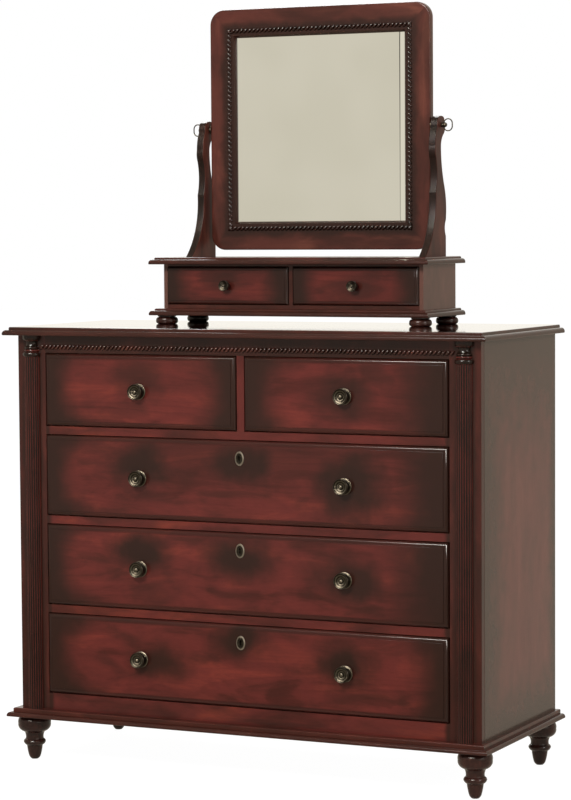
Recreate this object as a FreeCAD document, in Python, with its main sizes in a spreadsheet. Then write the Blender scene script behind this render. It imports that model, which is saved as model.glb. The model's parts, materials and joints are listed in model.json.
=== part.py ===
import FreeCAD, Part
import math
import os
import Sketcher

# A chest dresser in stained cherry. Two short and three long inset drawers
# stand between fluted split columns, on four turned feet. On its top sits a
# low stand with two small drawers, whose two shaped uprights carry a swing
# mirror between ring-headed screws.
#
# Millimetres, +Z up, the drawers face -Y. The origin is on the floor, under
# the middle of the whole dresser's box.

SIZES = {
    # Case: outside width over the posts, and depth from post face to back
    "case_width": 1212.0,
    "case_depth": 490.0,
    "panel_thickness": 19.0,
    "post_width": 77.0,
    "post_arris": 1.5,
    "joint_chamfer": 1.2,
    "back_thickness": 6.0,
    "back_rebate": 9.0,
    # Heights of the front, from the floor up
    "foot_height": 109.0,
    "base_thickness": 21.0,
    "bottom_rail_height": 40.0,
    "long_opening_height": 199.0,
    "rail_height": 19.5,
    "short_opening_height": 178.5,
    "frieze_height": 42.5,
    "top_thickness": 20.0,
    # Moulded edges of the top and base boards
    "top_overhang": 24.5,
    "top_front_overhang": 36.0,
    "base_overhang": 26.0,
    "base_front_overhang": 34.0,
    "top_lip_height": 13.0,
    "base_lip_height": 11.0,
    "top_lip_radius": 9.5,
    "base_lip_radius": 8.0,
    "lip_lower_radius": 2.5,
    "crown_set_back": 12.5,
    "crown_radius": 3.0,
    # Rails, runners and guides inside the case
    "rail_depth": 60.0,
    "divider_width": 19.0,
    "runner_width": 90.0,
    "centre_runner_width": 62.0,
    "guide_height": 30.0,
    # Split columns on the posts
    "column_inset": 40.0,
    "column_radius": 19.5,
    "capital_height": 53.5,
    "flute_radius": 2.6,
    "flute_depth": 1.6,
    "rope_width": 12.0,
    "rope_height": 6.0,
    "rope_arris": 5.4,
    "frieze_rope_drop": 28.5,
    "frieze_rope_end_gap": 20.0,
    # Turned feet
    "foot_inset_side": 49.0,
    "foot_inset_front": 51.5,
    "foot_inset_back": 47.0,
    "foot_tip_diameter": 17.0,
    "foot_taper_diameter": 39.0,
    "foot_ring_diameter": 54.5,
    "foot_neck_diameter": 44.0,
    "foot_bun_diameter": 80.5,
    "foot_tenon_diameter": 25.0,
    "foot_tenon_length": 13.0,
    # Case drawers
    "drawer_gap": 1.5,
    "front_edge_thickness": 20.7,
    "front_edge_proud": 6.2,
    "front_ovolo_radius": 8.5,
    "field_proud": 8.0,
    "field_border": 11.5,
    "field_radius": 1.0,
    "box_side_thickness": 12.0,
    "box_side_clearance": 1.0,
    "box_slide_clearance": 0.5,
    "box_top_clearance": 9.0,
    "box_end_gap": 1.0,
    "box_bottom_thickness": 6.0,
    "box_bottom_rise": 9.0,
    "box_groove_depth": 5.0,
    # Case drawer hardware
    "knob_diameter": 36.5,
    "knob_plate_diameter": 39.0,
    "knob_stem_diameter": 26.0,
    "knob_length": 22.0,
    "knob_spread": 538.0,
    "escutcheon_height": 34.0,
    "escutcheon_width": 23.0,
    "escutcheon_thickness": 2.4,
    "escutcheon_arris": 1.4,
    "escutcheon_drop": 43.5,
    "keyhole_diameter": 5.5,
    "keyhole_slot_width": 3.0,
    "keyhole_slot_length": 9.0,
    # Stand on the top
    "stand_width": 699.0,
    "stand_depth": 205.0,
    "stand_set_back": 280.0,
    "stand_foot_height": 21.5,
    "stand_foot_diameter": 55.0,
    "stand_foot_tread_diameter": 42.0,
    "stand_foot_neck_diameter": 38.0,
    "stand_foot_ring_diameter": 46.0,
    "stand_foot_tenon_diameter": 16.0,
    "stand_foot_tenon_length": 10.0,
    "stand_foot_inset_side": 33.5,
    "stand_foot_inset_front": 33.5,
    "stand_foot_inset_back": 37.0,
    "stand_board_thickness": 17.0,
    "stand_overhang": 26.0,
    "stand_front_overhang": 34.0,
    "stand_lip_height": 12.0,
    "stand_lip_radius": 8.5,
    "stand_lip_lower_radius": 2.0,
    "stand_crown_set_back": 11.0,
    "stand_crown_radius": 3.6,
    "stand_side_thickness": 10.0,
    "stand_back_thickness": 6.0,
    "stand_floor_thickness": 9.5,
    "stand_opening_height": 95.0,
    "stand_rail_height": 5.0,
    "stand_divider_width": 10.0,
    # Small drawers of the stand
    "small_gap": 1.2,
    "small_edge_thickness": 17.0,
    "small_edge_proud": 4.5,
    "small_ovolo_radius": 6.0,
    "small_field_proud": 6.0,
    "small_border": 9.0,
    "small_field_radius": 0.8,
    "small_side_thickness": 8.0,
    "small_side_clearance": 1.0,
    "small_slide_clearance": 0.5,
    "small_top_clearance": 6.0,
    "small_end_gap": 1.0,
    "small_bottom_thickness": 4.0,
    "small_bottom_rise": 6.0,
    "small_groove_depth": 3.0,
    "small_knob_diameter": 25.5,
    "small_knob_plate_diameter": 17.0,
    "small_knob_stem_diameter": 12.0,
    "small_knob_length": 20.0,
    # Uprights
    "upright_thickness": 19.0,
    "upright_depth": 131.0,
    "upright_height": 339.5,
    "upright_set_back": 72.0,
    "upright_corner_radius": 3.0,
    "upright_arris": 2.0,
    "upright_tenon_length": 10.0,
    "upright_tenon_thickness": 11.0,
    "upright_tenon_margin": 20.0,
    # Swing mirror
    "mirror_width": 600.0,
    "mirror_height": 603.0,
    "mirror_thickness": 22.0,
    "mirror_member_width": 71.0,
    "mirror_corner_radius": 38.0,
    "mirror_arris": 3.5,
    "mirror_slope_width": 9.0,
    "mirror_slope_depth": 5.0,
    "mirror_rope_inset": 48.0,
    "mirror_rebate_width": 8.0,
    "mirror_rebate_depth": 13.0,
    "glass_thickness": 4.0,
    "glass_edge_gap": 1.0,
    "glass_bevel_width": 20.0,
    "glass_bevel_depth": 1.6,
    "backing_thickness": 4.0,
    "pivot_drop": 20.0,
    "pivot_depth": 105.0,
    "pivot_gap": 7.0,
    "pivot_rise": 1.5,
    # Ring-headed pivot screws and their plates
    "screw_diameter": 6.0,
    "screw_clearance": 0.3,
    "screw_reach": 20.0,
    "screw_collar_diameter": 12.0,
    "screw_collar_thickness": 1.6,
    "screw_ball_diameter": 12.0,
    "screw_ring_width": 25.0,
    "screw_ring_height": 32.0,
    "screw_ring_wire": 3.0,
    "screw_ring_lead": 8.5,
    "plate_diameter": 26.0,
    "plate_thickness": 2.0,
    "plate_boss_diameter": 15.0,
    "plate_running_gap": 0.3,
}

# Counts and angles
FLUTES = 9
FLUTE_PITCH_DEGREES = 18.0
LONG_DRAWERS = 3
NEAR = 1e-4

# Turned outlines: radius shares and height shares, with the bulge of the arc
# that reaches each point as a share of its chord. A bulge of 0 is a line, a
# positive one swells outwards, and a negative one is hollow.
FOOT_TAPER_SHARES = [
    (0.79, 0.104, 0.10),
    (1.0, 0.311, 0.02),
]
FOOT_RING_SHARES = [
    (1.0, 0.390, 0.10),
    (0.82, 0.460, 0.16),
]
FOOT_NECK_SHARES = [
    (1.06, 0.585, -0.08),
    (1.37, 0.645, -0.14),
]
FOOT_BUN_SHARES = [
    (1.0, 0.820, 0.17),
    (0.86, 0.975, 0.14),
]
CAPITAL_SHARES = [
    (0.95, 0.252, 0.34),
    (0.93, 0.265, 0.0),
    (0.93, 0.360, 0.30),
    (0.88, 0.375, 0.0),
    (0.88, 0.485, 0.28),
    (0.84, 0.495, 0.0),
    (0.75, 0.715, -0.10),
    (0.77, 0.725, 0.0),
    (1.18, 0.900, 0.24),
    (1.20, 1.0, 0.02),
]
# Bun foot: height shares of its belly, neck and top ring, and its bulge
BUN_BELLY_SHARE = 0.42
BUN_NECK_SHARE = 0.80
BUN_RING_SHARE = 0.86
BUN_BULGE_SHARE = 0.22
# Knob outline: radius shares are of the plate, stem or knob radius named
# with them, height shares are of the knob's length
KNOB_PLATE_SHARES = [(1.0, 0.06, 0.0), (0.90, 0.13, 0.0)]
KNOB_STEM_SHARES = [(1.0, 0.17, 0.0), (1.0, 0.27, 0.0)]
KNOB_HEAD_SHARES = [
    (0.86, 0.32, 0.0),
    (0.93, 0.74, 0.12),
    (1.0, 0.84, 0.0),
    (0.97, 1.0, 0.16),
    (0.86, 0.96, 0.0),
    (0.40, 0.82, 0.0),
    (0.28, 0.82, 0.0),
]
# The button: its flat's radius as a share of the knob's, its height and bulge
KNOB_BUTTON_SHARES = (0.06, 0.98, 0.22)

# Upright outline, round from the back of its foot: depth shares back from the
# foot's front corner, height shares from the stand's top, and bulges as above
UPRIGHT_SHARES = [
    (1.0, 0.0, 0.0),
    (1.0, 0.147, 0.0),
    (1.0, 0.259, -0.18),
    (0.939, 0.499, 0.075),
    (0.771, 0.772, -0.05),
    (0.882, 0.870, -0.13),
    (0.977, 0.919, 0.10),
    (0.908, 1.0, 0.12),
    (0.634, 0.990, 0.10),
    (0.588, 0.922, 0.10),
    (0.496, 0.791, 0.07),
    (0.519, 0.706, 0.10),
    (0.512, 0.457, -0.089),
]
UPRIGHT_SWEEP_SHARE = -0.124


class Size:
    """A length: its number now, and the expression that gives it from the sheet."""

    def __init__(self, number, text):
        self.number = number
        self.text = text

    def __add__(self, other):
        other = sized(other)
        return Size(self.number + other.number, f"({self.text} + {other.text})")

    def __sub__(self, other):
        other = sized(other)
        return Size(self.number - other.number, f"({self.text} - {other.text})")

    def __mul__(self, other):
        other = sized(other)
        return Size(self.number * other.number, f"({self.text} * {other.text})")

    def __truediv__(self, other):
        other = sized(other)
        return Size(self.number / other.number, f"({self.text} / {other.text})")

    def __radd__(self, other):
        return sized(other) + self

    def __rsub__(self, other):
        return sized(other) - self

    def __rmul__(self, other):
        return sized(other) * self

    def __neg__(self):
        return Size(-self.number, f"(0 - {self.text})")


def sized(thing):
    """The thing itself if it is a Size, or a Size of a plain number."""
    return thing if isinstance(thing, Size) else Size(float(thing), repr(float(thing)))


def root(size):
    """The square root of a Size."""
    return Size(math.sqrt(size.number), f"sqrt({size.text})")


document = FreeCAD.newDocument("Dresser")
sheet = document.addObject("Spreadsheet::Sheet", "Sizes")
for row, (alias, number) in enumerate(SIZES.items(), start=1):
    sheet.set(f"A{row}", alias)
    sheet.set(f"B{row}", str(number))
    sheet.setAlias(f"B{row}", alias)
document.recompute()


class Sheet:
    """The driving sizes, each read from its cell by its alias."""

    def __getattr__(self, alias):
        return Size(float(sheet.get(alias)), f"Sizes.{alias}")


s = Sheet()
ZERO = sized(0)
nodes = {}


def bind(thing, path, size):
    """Tie a property of an object to the sheet."""
    thing.setExpression(path, sized(size).text)


def place(thing, x, y, z):
    """Tie an object's position to the sheet."""
    for axis, size in (("x", x), ("y", y), ("z", z)):
        bind(thing, f"Placement.Base.{axis}", size)


def node(label, thing):
    """Give a finished sub-part its own label, which names its file."""
    thing.Label = label
    nodes[label] = thing
    return thing


def new_body(name, x, y, z):
    """An empty body whose local origin lies at the given point."""
    body = document.addObject("PartDesign::Body", name)
    place(body, x, y, z)
    return body


def origin_feature(body, role):
    """One of the body's own origin planes or axes."""
    return next(f for f in body.Origin.OriginFeatures if f.Role == role)


def new_sketch(body, plane_role, name):
    """A sketch on one of the body's own origin planes."""
    sketch = body.newObject("Sketcher::SketchObject", name)
    sketch.AttachmentSupport = [(origin_feature(body, plane_role), "")]
    sketch.MapMode = "FlatFace"
    return sketch


def fix_point(sketch, geometry, end, x, y):
    """Hold one point of a sketch at x, y from the origin."""
    for kind, size, axis in (("DistanceX", x, -2), ("DistanceY", y, -1)):
        size = sized(size)
        if abs(size.number) < NEAR:
            sketch.addConstraint(Sketcher.Constraint("PointOnObject", geometry, end, axis))
        else:
            index = sketch.addConstraint(
                Sketcher.Constraint(kind, -1, 1, geometry, end, size.number))
            bind(sketch, f"Constraints[{index}]", size)


def trace(sketch, start, steps, last_bulge=0.0):
    """A closed outline of lines and arcs.

    Each step is (x, y) for a line or (x, y, bulge share) for an arc, whose
    rise is that share of its chord, to the right of the way it goes. The
    last bulge is that of the way back to the start.
    """
    points = [tuple(sized(v) for v in start)]
    bulges = []
    for step in steps:
        points.append((sized(step[0]), sized(step[1])))
        bulges.append(step[2] if len(step) > 2 else 0.0)
    points.append(points[0])
    bulges.append(last_bulge)
    ends = []
    for (x0, y0), (x1, y1), bulge in zip(points, points[1:], bulges):
        a = FreeCAD.Vector(x0.number, y0.number, 0)
        b = FreeCAD.Vector(x1.number, y1.number, 0)
        if a.distanceToPoint(b) < NEAR:
            continue
        if not bulge:
            index = sketch.addGeometry(Part.LineSegment(a, b), False)
            ends.append((index, 1, 2, x0, y0))
            continue
        chord = b - a
        right = FreeCAD.Vector(chord.y, -chord.x, 0) * bulge
        index = sketch.addGeometry(Part.Arc(a, (a + b) / 2 + right, b), False)
        first, last = (1, 2) if bulge > 0 else (2, 1)
        ends.append((index, first, last, x0, y0))
        length = root((x1 - x0) * (x1 - x0) + (y1 - y0) * (y1 - y0))
        ratio = (0.25 + bulge * bulge) / (2 * abs(bulge))
        radius = length * ratio
        held = sketch.addConstraint(Sketcher.Constraint("Radius", index, radius.number))
        bind(sketch, f"Constraints[{held}]", radius)
    for here, after in zip(ends, ends[1:] + ends[:1]):
        sketch.addConstraint(
            Sketcher.Constraint("Coincident", here[0], here[2], after[0], after[1]))
    for index, first, last, x, y in ends:
        fix_point(sketch, index, first, x, y)


def rectangle(sketch, x0, y0, x1, y1):
    """A rectangle between two corners."""
    trace(sketch, (x0, y0), [(x1, y0), (x1, y1), (x0, y1)])


def circle(sketch, x, y, radius):
    """A circle at x, y."""
    x, y, radius = sized(x), sized(y), sized(radius)
    centre = FreeCAD.Vector(x.number, y.number, 0)
    index = sketch.addGeometry(
        Part.Circle(centre, FreeCAD.Vector(0, 0, 1), radius.number), False)
    fix_point(sketch, index, 3, x, y)
    held = sketch.addConstraint(Sketcher.Constraint("Radius", index, radius.number))
    bind(sketch, f"Constraints[{held}]", radius)


def feature(body, kind, name, sketch):
    """A sketch-based feature at the end of the body."""
    made = body.newObject(f"PartDesign::{kind}", name)
    made.Profile = sketch
    return made


def pad(body, sketch, length, name="Pad"):
    """Pad a sketch along its plane's normal."""
    made = feature(body, "Pad", name, sketch)
    bind(made, "Length", length)
    document.recompute()
    return made


def pocket(body, sketch, depth, name="Pocket"):
    """Pocket a sketch along its plane's normal, and make sure that it cut."""
    before = body.Shape.Volume
    made = feature(body, "Pocket", name, sketch)
    made.Reversed = True
    bind(made, "Length", depth)
    document.recompute()
    if body.Shape.Volume >= before:
        raise RuntimeError(f"{body.Name}: {name} cuts nothing")
    return made


def edges_of(thing, test):
    """The names of the edges whose middle point passes the test."""
    return [f"Edge{i}" for i, edge in enumerate(thing.Shape.Edges, start=1)
            if test(edge.CenterOfMass, edge)]


def dress(body, kind, name, base, size, test):
    """Round or bevel chosen edges of the last feature."""
    made = body.newObject(f"PartDesign::{kind}", name)
    made.Base = (base, edges_of(base, test))
    bind(made, "Radius" if kind == "Fillet" else "Size", size)
    document.recompute()
    return made


def at(value, size):
    """Whether a coordinate lies at a size."""
    return abs(value - sized(size).number) < NEAR


def turned(body, start, steps, degrees=360.0, name="Turning"):
    """A turning about the body's own Z axis, from its half outline."""
    sketch = new_sketch(body, "XZ_Plane", name + "Outline")
    trace(sketch, start, steps)
    made = feature(body, "Revolution", name, sketch)
    made.ReferenceAxis = (sketch, ["V_Axis"])
    made.Reversed = True
    made.Angle = degrees
    document.recompute()
    return made


def block(name, x0, x1, y0, y1, z0, z1):
    """A plain board between two corners."""
    made = document.addObject("Part::Box", name)
    bind(made, "Length", x1 - x0)
    bind(made, "Width", y1 - y0)
    bind(made, "Height", z1 - z0)
    place(made, sized(x0), sized(y0), sized(z0))
    return made


def group(label, members):
    """Like pieces that share one node, each still its own solid."""
    made = document.addObject("Part::Compound", label)
    made.Links = members
    return node(label, made)


def joined(name, kind, base, tool):
    """A Part boolean of two objects."""
    made = document.addObject(f"Part::{kind}", name)
    made.Base = base
    made.Tool = tool
    document.recompute()
    return made


# Places worked out from the sizes
half_width = s.case_width / 2
face_y = -(s.case_depth - s.top_front_overhang) / 2
back_y = face_y + s.case_depth
back_panel_y = back_y - s.back_thickness
opening_half = half_width - s.post_width
panel_inner_x = half_width - s.panel_thickness
case_z = s.foot_height + s.base_thickness
level_step = s.long_opening_height + s.rail_height
first_opening_z = case_z + s.bottom_rail_height
short_opening_z = first_opening_z + level_step * LONG_DRAWERS
frieze_z = short_opening_z + s.short_opening_height
case_top_z = frieze_z + s.frieze_height
case_height = case_top_z - case_z
top_z = case_top_z + s.top_thickness
stand_front_y = face_y + s.stand_set_back
stand_back_y = stand_front_y + s.stand_depth
stand_base_z = top_z + s.stand_foot_height
stand_z = stand_base_z + s.stand_board_thickness
stand_opening_z = stand_z + s.stand_floor_thickness
stand_top_z = stand_opening_z + s.stand_opening_height + s.stand_rail_height
upright_z = stand_top_z + s.stand_board_thickness
upright_front_y = stand_front_y + s.upright_set_back
upright_inner_x = s.mirror_width / 2 + s.pivot_gap
pivot_y = upright_front_y + s.pivot_depth
pivot_z = upright_z + s.upright_height - s.pivot_drop


def moulded_board(name, width, depth, y_back, z, thickness, style):
    """A board with a moulded edge at its front and ends, square at its back.

    A rounded lip steps in to a thin crown above it, and the mouldings meet
    in mitres at the front corners.
    """
    body = new_body(name, ZERO, y_back, z)
    half, lip = width / 2, style["lip_height"]
    lip_sketch = new_sketch(body, "XY_Plane", "LipOutline")
    rectangle(lip_sketch, -half, -depth, half, ZERO)
    pad(body, lip_sketch, lip, "Lip")
    crown_sketch = new_sketch(body, "XY_Plane", "CrownOutline")
    inset = style["crown_set_back"]
    rectangle(crown_sketch, inset - half, inset - depth, half - inset, ZERO)
    last = pad(body, crown_sketch, thickness, "Crown")

    def outside(point):
        return at(abs(point.x), half) or at(point.y, -depth)

    last = dress(body, "Fillet", "LipRound", last, style["lip_radius"],
                 lambda p, e: at(p.z, lip) and outside(p))
    last = dress(body, "Fillet", "LipArris", last, style["lip_lower_radius"],
                 lambda p, e: at(p.z, ZERO) and outside(p))
    dress(body, "Fillet", "CrownRound", last, style["crown_radius"],
          lambda p, e: at(p.z, thickness) and not at(p.y, ZERO))
    return body


def blind_holes(body, name, centres, radius, depth):
    """Round blind holes up into the underside of a board."""
    sketch = new_sketch(body, "XY_Plane", name + "Centres")
    for x, y in centres:
        circle(sketch, x, y, radius)
    pocket(body, sketch, depth, name)


top_edge = {"crown_set_back": s.crown_set_back, "lip_height": s.top_lip_height,
            "lip_radius": s.top_lip_radius, "lip_lower_radius": s.lip_lower_radius,
            "crown_radius": s.crown_radius}
base_edge = {**top_edge, "lip_height": s.base_lip_height, "lip_radius": s.base_lip_radius}
stand_edge = {"crown_set_back": s.stand_crown_set_back, "lip_height": s.stand_lip_height,
              "lip_radius": s.stand_lip_radius,
              "lip_lower_radius": s.stand_lip_lower_radius,
              "crown_radius": s.stand_crown_radius}


def case_boards():
    """The top, and the base board that the feet are tenoned into."""
    node("top_board", moulded_board(
        "TopBoard", s.case_width + s.top_overhang * 2, s.case_depth + s.top_front_overhang,
        back_y, case_top_z, s.top_thickness, top_edge))
    depth = s.case_depth + s.base_front_overhang
    base = moulded_board(
        "BaseBoard", s.case_width + s.base_overhang * 2, depth,
        back_y, s.foot_height, s.base_thickness, base_edge)
    centres = [(x, y - back_y) for x, y in foot_centres()]
    blind_holes(base, "FootMortises", centres, s.foot_tenon_diameter / 2, s.foot_tenon_length)
    node("base_board", base)


def foot_centres():
    """Where the four feet stand, left then right, front then back."""
    x = half_width + s.base_overhang - s.foot_inset_side
    front = face_y - s.base_front_overhang + s.foot_inset_front
    back = back_y - s.foot_inset_back
    return [(side * x, y) for y in (front, back) for side in (-1, 1)]


def foot_outline():
    """Half outline of a foot, from its tip to the top of its tenon."""
    tip, taper = s.foot_tip_diameter / 2, s.foot_taper_diameter / 2
    steps = [(tip, ZERO)]
    for shares, radius in ((FOOT_TAPER_SHARES, taper),
                           (FOOT_RING_SHARES, s.foot_ring_diameter / 2),
                           (FOOT_NECK_SHARES, s.foot_neck_diameter / 2),
                           (FOOT_BUN_SHARES, s.foot_bun_diameter / 2)):
        steps += [(radius * r, s.foot_height * z, bulge) for r, z, bulge in shares]
    last_radius = steps[-1][0]
    tenon = s.foot_tenon_diameter / 2
    tenon_top = s.foot_height + s.foot_tenon_length
    steps += [(last_radius, s.foot_height), (tenon, s.foot_height),
              (tenon, tenon_top), (ZERO, tenon_top)]
    return steps


def feet():
    """Four turned feet with round tenons."""
    members = []
    for x, y in foot_centres():
        body = new_body("Foot", x, y, ZERO)
        turned(body, (ZERO, ZERO), foot_outline())
        members.append(body)
    group("feet", members)


def side_panels():
    """Two side panels, rebated for the back."""
    for side, label in ((-1, "left_side_panel"), (1, "right_side_panel")):
        body = new_body(label, ZERO, face_y, case_z)
        sketch = new_sketch(body, "XY_Plane", "PanelOutline")
        outer, inner = side * half_width, side * panel_inner_x
        rebate = inner + side * s.back_rebate
        front, back = s.panel_thickness, s.case_depth
        notch = back - s.back_thickness
        trace(sketch, (outer, front),
              [(outer, back), (rebate, back), (rebate, notch), (inner, notch), (inner, front)])
        last = pad(body, sketch, case_height)
        dress(body, "Chamfer", "JointChamfer", last, s.joint_chamfer,
              lambda p, e: at(p.x, outer) and at(p.y, front))
        node(label, body)


def back_panel():
    """The back, let into the side panels' rebates."""
    half = panel_inner_x + s.back_rebate
    node("back_panel", block("BackPanel", -half, half, back_panel_y, back_y, case_z, case_top_z))


def posts():
    """Two front posts that carry the columns."""
    for side, label in ((-1, "left_post"), (1, "right_post")):
        body = new_body(label, ZERO, face_y, case_z)
        sketch = new_sketch(body, "XY_Plane", "PostOutline")
        outer = side * half_width
        rectangle(sketch, side * opening_half, ZERO, outer, s.panel_thickness)
        last = pad(body, sketch, case_height)
        last = dress(body, "Chamfer", "JointChamfer", last, s.joint_chamfer,
                     lambda p, e: at(p.x, outer) and at(p.y, s.panel_thickness))
        dress(body, "Fillet", "PostArris", last, s.post_arris,
              lambda p, e: at(p.x, outer) and at(p.y, ZERO))
        node(label, body)


def columns():
    """Split turned columns: fluted shafts under turned capitals."""
    shaft = case_height - s.capital_height
    for side, label in ((-1, "left_column"), (1, "right_column")):
        body = new_body(label, side * (half_width - s.column_inset), face_y, case_z)
        steps = [(s.column_radius, ZERO), (s.column_radius, shaft),
                 (s.column_radius * CAPITAL_SHARES[0][0], shaft)]
        steps += [(s.column_radius * r, shaft + s.capital_height * z, bulge)
                  for r, z, bulge in CAPITAL_SHARES]
        steps.append((ZERO, case_height))
        turned(body, (ZERO, ZERO), steps, degrees=180.0)
        first = math.radians(-90.0 - FLUTE_PITCH_DEGREES * (FLUTES - 1) / 2)
        reach = s.column_radius + s.flute_radius - s.flute_depth
        sketch = new_sketch(body, "XY_Plane", "FluteSection")
        circle(sketch, reach * math.cos(first), reach * math.sin(first), s.flute_radius)
        flute = pocket(body, sketch, shaft, "Flute")
        flutes = body.newObject("PartDesign::PolarPattern", "Flutes")
        flutes.Originals = [flute]
        flutes.Axis = (origin_feature(body, "Z_Axis"), [""])
        flutes.Angle = FLUTE_PITCH_DEGREES * (FLUTES - 1)
        flutes.Occurrences = FLUTES
        body.Tip = flutes
        document.recompute()
        node(label, body)


def half_round(name, length, y, z):
    """A half-round strip along X, its flat back on the plane at y."""
    body = new_body(name, -length / 2, y, z)
    sketch = new_sketch(body, "YZ_Plane", "StripSection")
    rise = s.rope_width / 2
    rectangle(sketch, -s.rope_height, -rise, ZERO, rise)
    last = pad(body, sketch, length)
    dress(body, "Fillet", "StripRound", last, s.rope_arris,
          lambda p, e: at(p.y, -s.rope_height) and at(abs(p.z), rise))
    return body


def front_frame():
    """Rails and the divider between the posts, and the rope strip."""
    front, back = face_y, face_y + s.panel_thickness
    deep = face_y + s.rail_depth
    node("frieze_rail",
         block("FriezeRail", -opening_half, opening_half, front, back, frieze_z, case_top_z))
    rope_length = (half_width - s.column_inset - s.frieze_rope_end_gap) * 2
    node("frieze_rope_moulding",
         half_round("FriezeRope", rope_length, face_y, case_top_z - s.frieze_rope_drop))
    rails = [block("BottomRail", -opening_half, opening_half, front, back,
                   case_z, first_opening_z)]
    for level in range(LONG_DRAWERS):
        top = first_opening_z + level_step * (level + 1)
        rails.append(block(f"DrawerRail{level}", -opening_half, opening_half, front, deep,
                           top - s.rail_height, top))
    group("drawer_rails", rails)
    half = s.divider_width / 2
    node("top_drawer_divider",
         block("TopDrawerDivider", -half, half, front, deep, short_opening_z, frieze_z))


def runners_and_guides():
    """What the drawers run on, between and under, behind the front frame."""
    runners, guides = [], []
    inner = panel_inner_x - s.runner_width
    centre = s.centre_runner_width / 2
    divider = s.divider_width / 2
    deep = face_y + s.rail_depth
    shallow = face_y + s.panel_thickness
    for level in range(LONG_DRAWERS + 1):
        top = first_opening_z + level_step * level
        front = deep if level else shallow
        for side in (-1, 1):
            x0, x1 = sorted((side * inner, side * panel_inner_x), key=lambda v: v.number)
            runners.append(block(f"Runner{level}", x0, x1, front, back_panel_y,
                                 top - s.rail_height, top))
            x0, x1 = sorted((side * opening_half, side * panel_inner_x),
                            key=lambda v: v.number)
            guides.append(block(f"Guide{level}", x0, x1, front, back_panel_y,
                                top, top + s.guide_height))
    runners.append(block("CentreRunner", -centre, centre, deep, back_panel_y,
                         short_opening_z - s.rail_height, short_opening_z))
    guides.append(block("CentreGuide", -divider, divider, deep, back_panel_y,
                        short_opening_z, short_opening_z + s.guide_height))
    for x0, x1 in ((-panel_inner_x, -inner), (-centre, centre), (inner, panel_inner_x)):
        runners.append(block("Kicker", x0, x1, shallow, back_panel_y,
                             frieze_z, frieze_z + s.rail_height))
    group("drawer_runners", runners)
    group("drawer_guides", guides)


def knob(name, x, y, z, style):
    """A turned brass knob: plate, waisted stem and dished head with a button."""
    body = new_body(name, x, y, z)
    body.Placement.Rotation = FreeCAD.Rotation(FreeCAD.Vector(1, 0, 0), 90)
    plate, stem, head = style["plate"] / 2, style["stem"] / 2, style["head"] / 2
    length = style["length"]
    steps = [(plate, ZERO)]
    for shares, radius in ((KNOB_PLATE_SHARES, plate), (KNOB_STEM_SHARES, stem),
                           (KNOB_HEAD_SHARES, head)):
        steps += [(radius * r, length * z, bulge) for r, z, bulge in shares]
    flat, top, bulge = KNOB_BUTTON_SHARES
    steps += [(head * flat, length * top, bulge), (ZERO, length * top)]
    turned(body, (ZERO, ZERO), steps)
    return body


large_knob = {"plate": s.knob_plate_diameter, "stem": s.knob_stem_diameter,
              "head": s.knob_diameter, "length": s.knob_length}
small_knob = {"plate": s.small_knob_plate_diameter, "stem": s.small_knob_stem_diameter,
              "head": s.small_knob_diameter, "length": s.small_knob_length}

case_drawer = {
    "gap": s.drawer_gap, "edge_thickness": s.front_edge_thickness,
    "edge_proud": s.front_edge_proud, "field_proud": s.field_proud,
    "border": s.field_border, "field_radius": s.field_radius,
    "ovolo": s.front_ovolo_radius,
    "side": s.box_side_thickness, "side_clearance": s.box_side_clearance,
    "slide": s.box_slide_clearance, "top_clearance": s.box_top_clearance,
    "bottom": s.box_bottom_thickness, "rise": s.box_bottom_rise,
    "groove": s.box_groove_depth,
    "front_y": face_y, "back_y": back_panel_y - s.box_end_gap, "knob": large_knob,
}
small_drawer = {
    "gap": s.small_gap, "edge_thickness": s.small_edge_thickness,
    "edge_proud": s.small_edge_proud, "field_proud": s.small_field_proud,
    "border": s.small_border, "field_radius": s.small_field_radius,
    "ovolo": s.small_ovolo_radius,
    "side": s.small_side_thickness, "side_clearance": s.small_side_clearance,
    "slide": s.small_slide_clearance, "top_clearance": s.small_top_clearance,
    "bottom": s.small_bottom_thickness, "rise": s.small_bottom_rise,
    "groove": s.small_groove_depth,
    "front_y": stand_front_y,
    "back_y": stand_back_y - s.stand_back_thickness - s.small_end_gap,
    "knob": small_knob,
}


def drawer_front(label, centre_x, z, width, height, style):
    """A front with an ovolo round its edge and a flat field that steps up inside it."""
    board_back = style["front_y"] - style["edge_proud"] + style["edge_thickness"]
    body = new_body(label, centre_x, board_back, z + style["gap"])
    half = width / 2 - style["gap"]
    rise = height - style["gap"] * 2
    edge, border = style["edge_thickness"], style["border"]
    full = edge - style["edge_proud"] + style["field_proud"]
    board = new_sketch(body, "XZ_Plane", "BoardOutline")
    rectangle(board, -half, ZERO, half, rise)
    pad(body, board, edge, "Board")
    field = new_sketch(body, "XZ_Plane", "FieldOutline")
    rectangle(field, border - half, border, half - border, rise - border)
    last = pad(body, field, full, "Field")
    last = dress(body, "Fillet", "FieldRound", last, style["field_radius"],
                 lambda p, e: at(p.y, -full))
    dress(body, "Fillet", "Ovolo", last, style["ovolo"],
          lambda p, e: at(p.y, -edge) and (at(abs(p.x), half) or at(p.z, 0)
                                           or at(p.z, rise)))
    groove = new_sketch(body, "XZ_Plane", "BottomGroove")
    panel_half = width / 2 - style["side_clearance"] - style["side"] + style["groove"]
    low = style["slide"] - style["gap"] + style["rise"]
    rectangle(groove, -panel_half, low, panel_half, low + style["bottom"])
    pocket(body, groove, style["groove"], "Groove")
    return body, board_back


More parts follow.
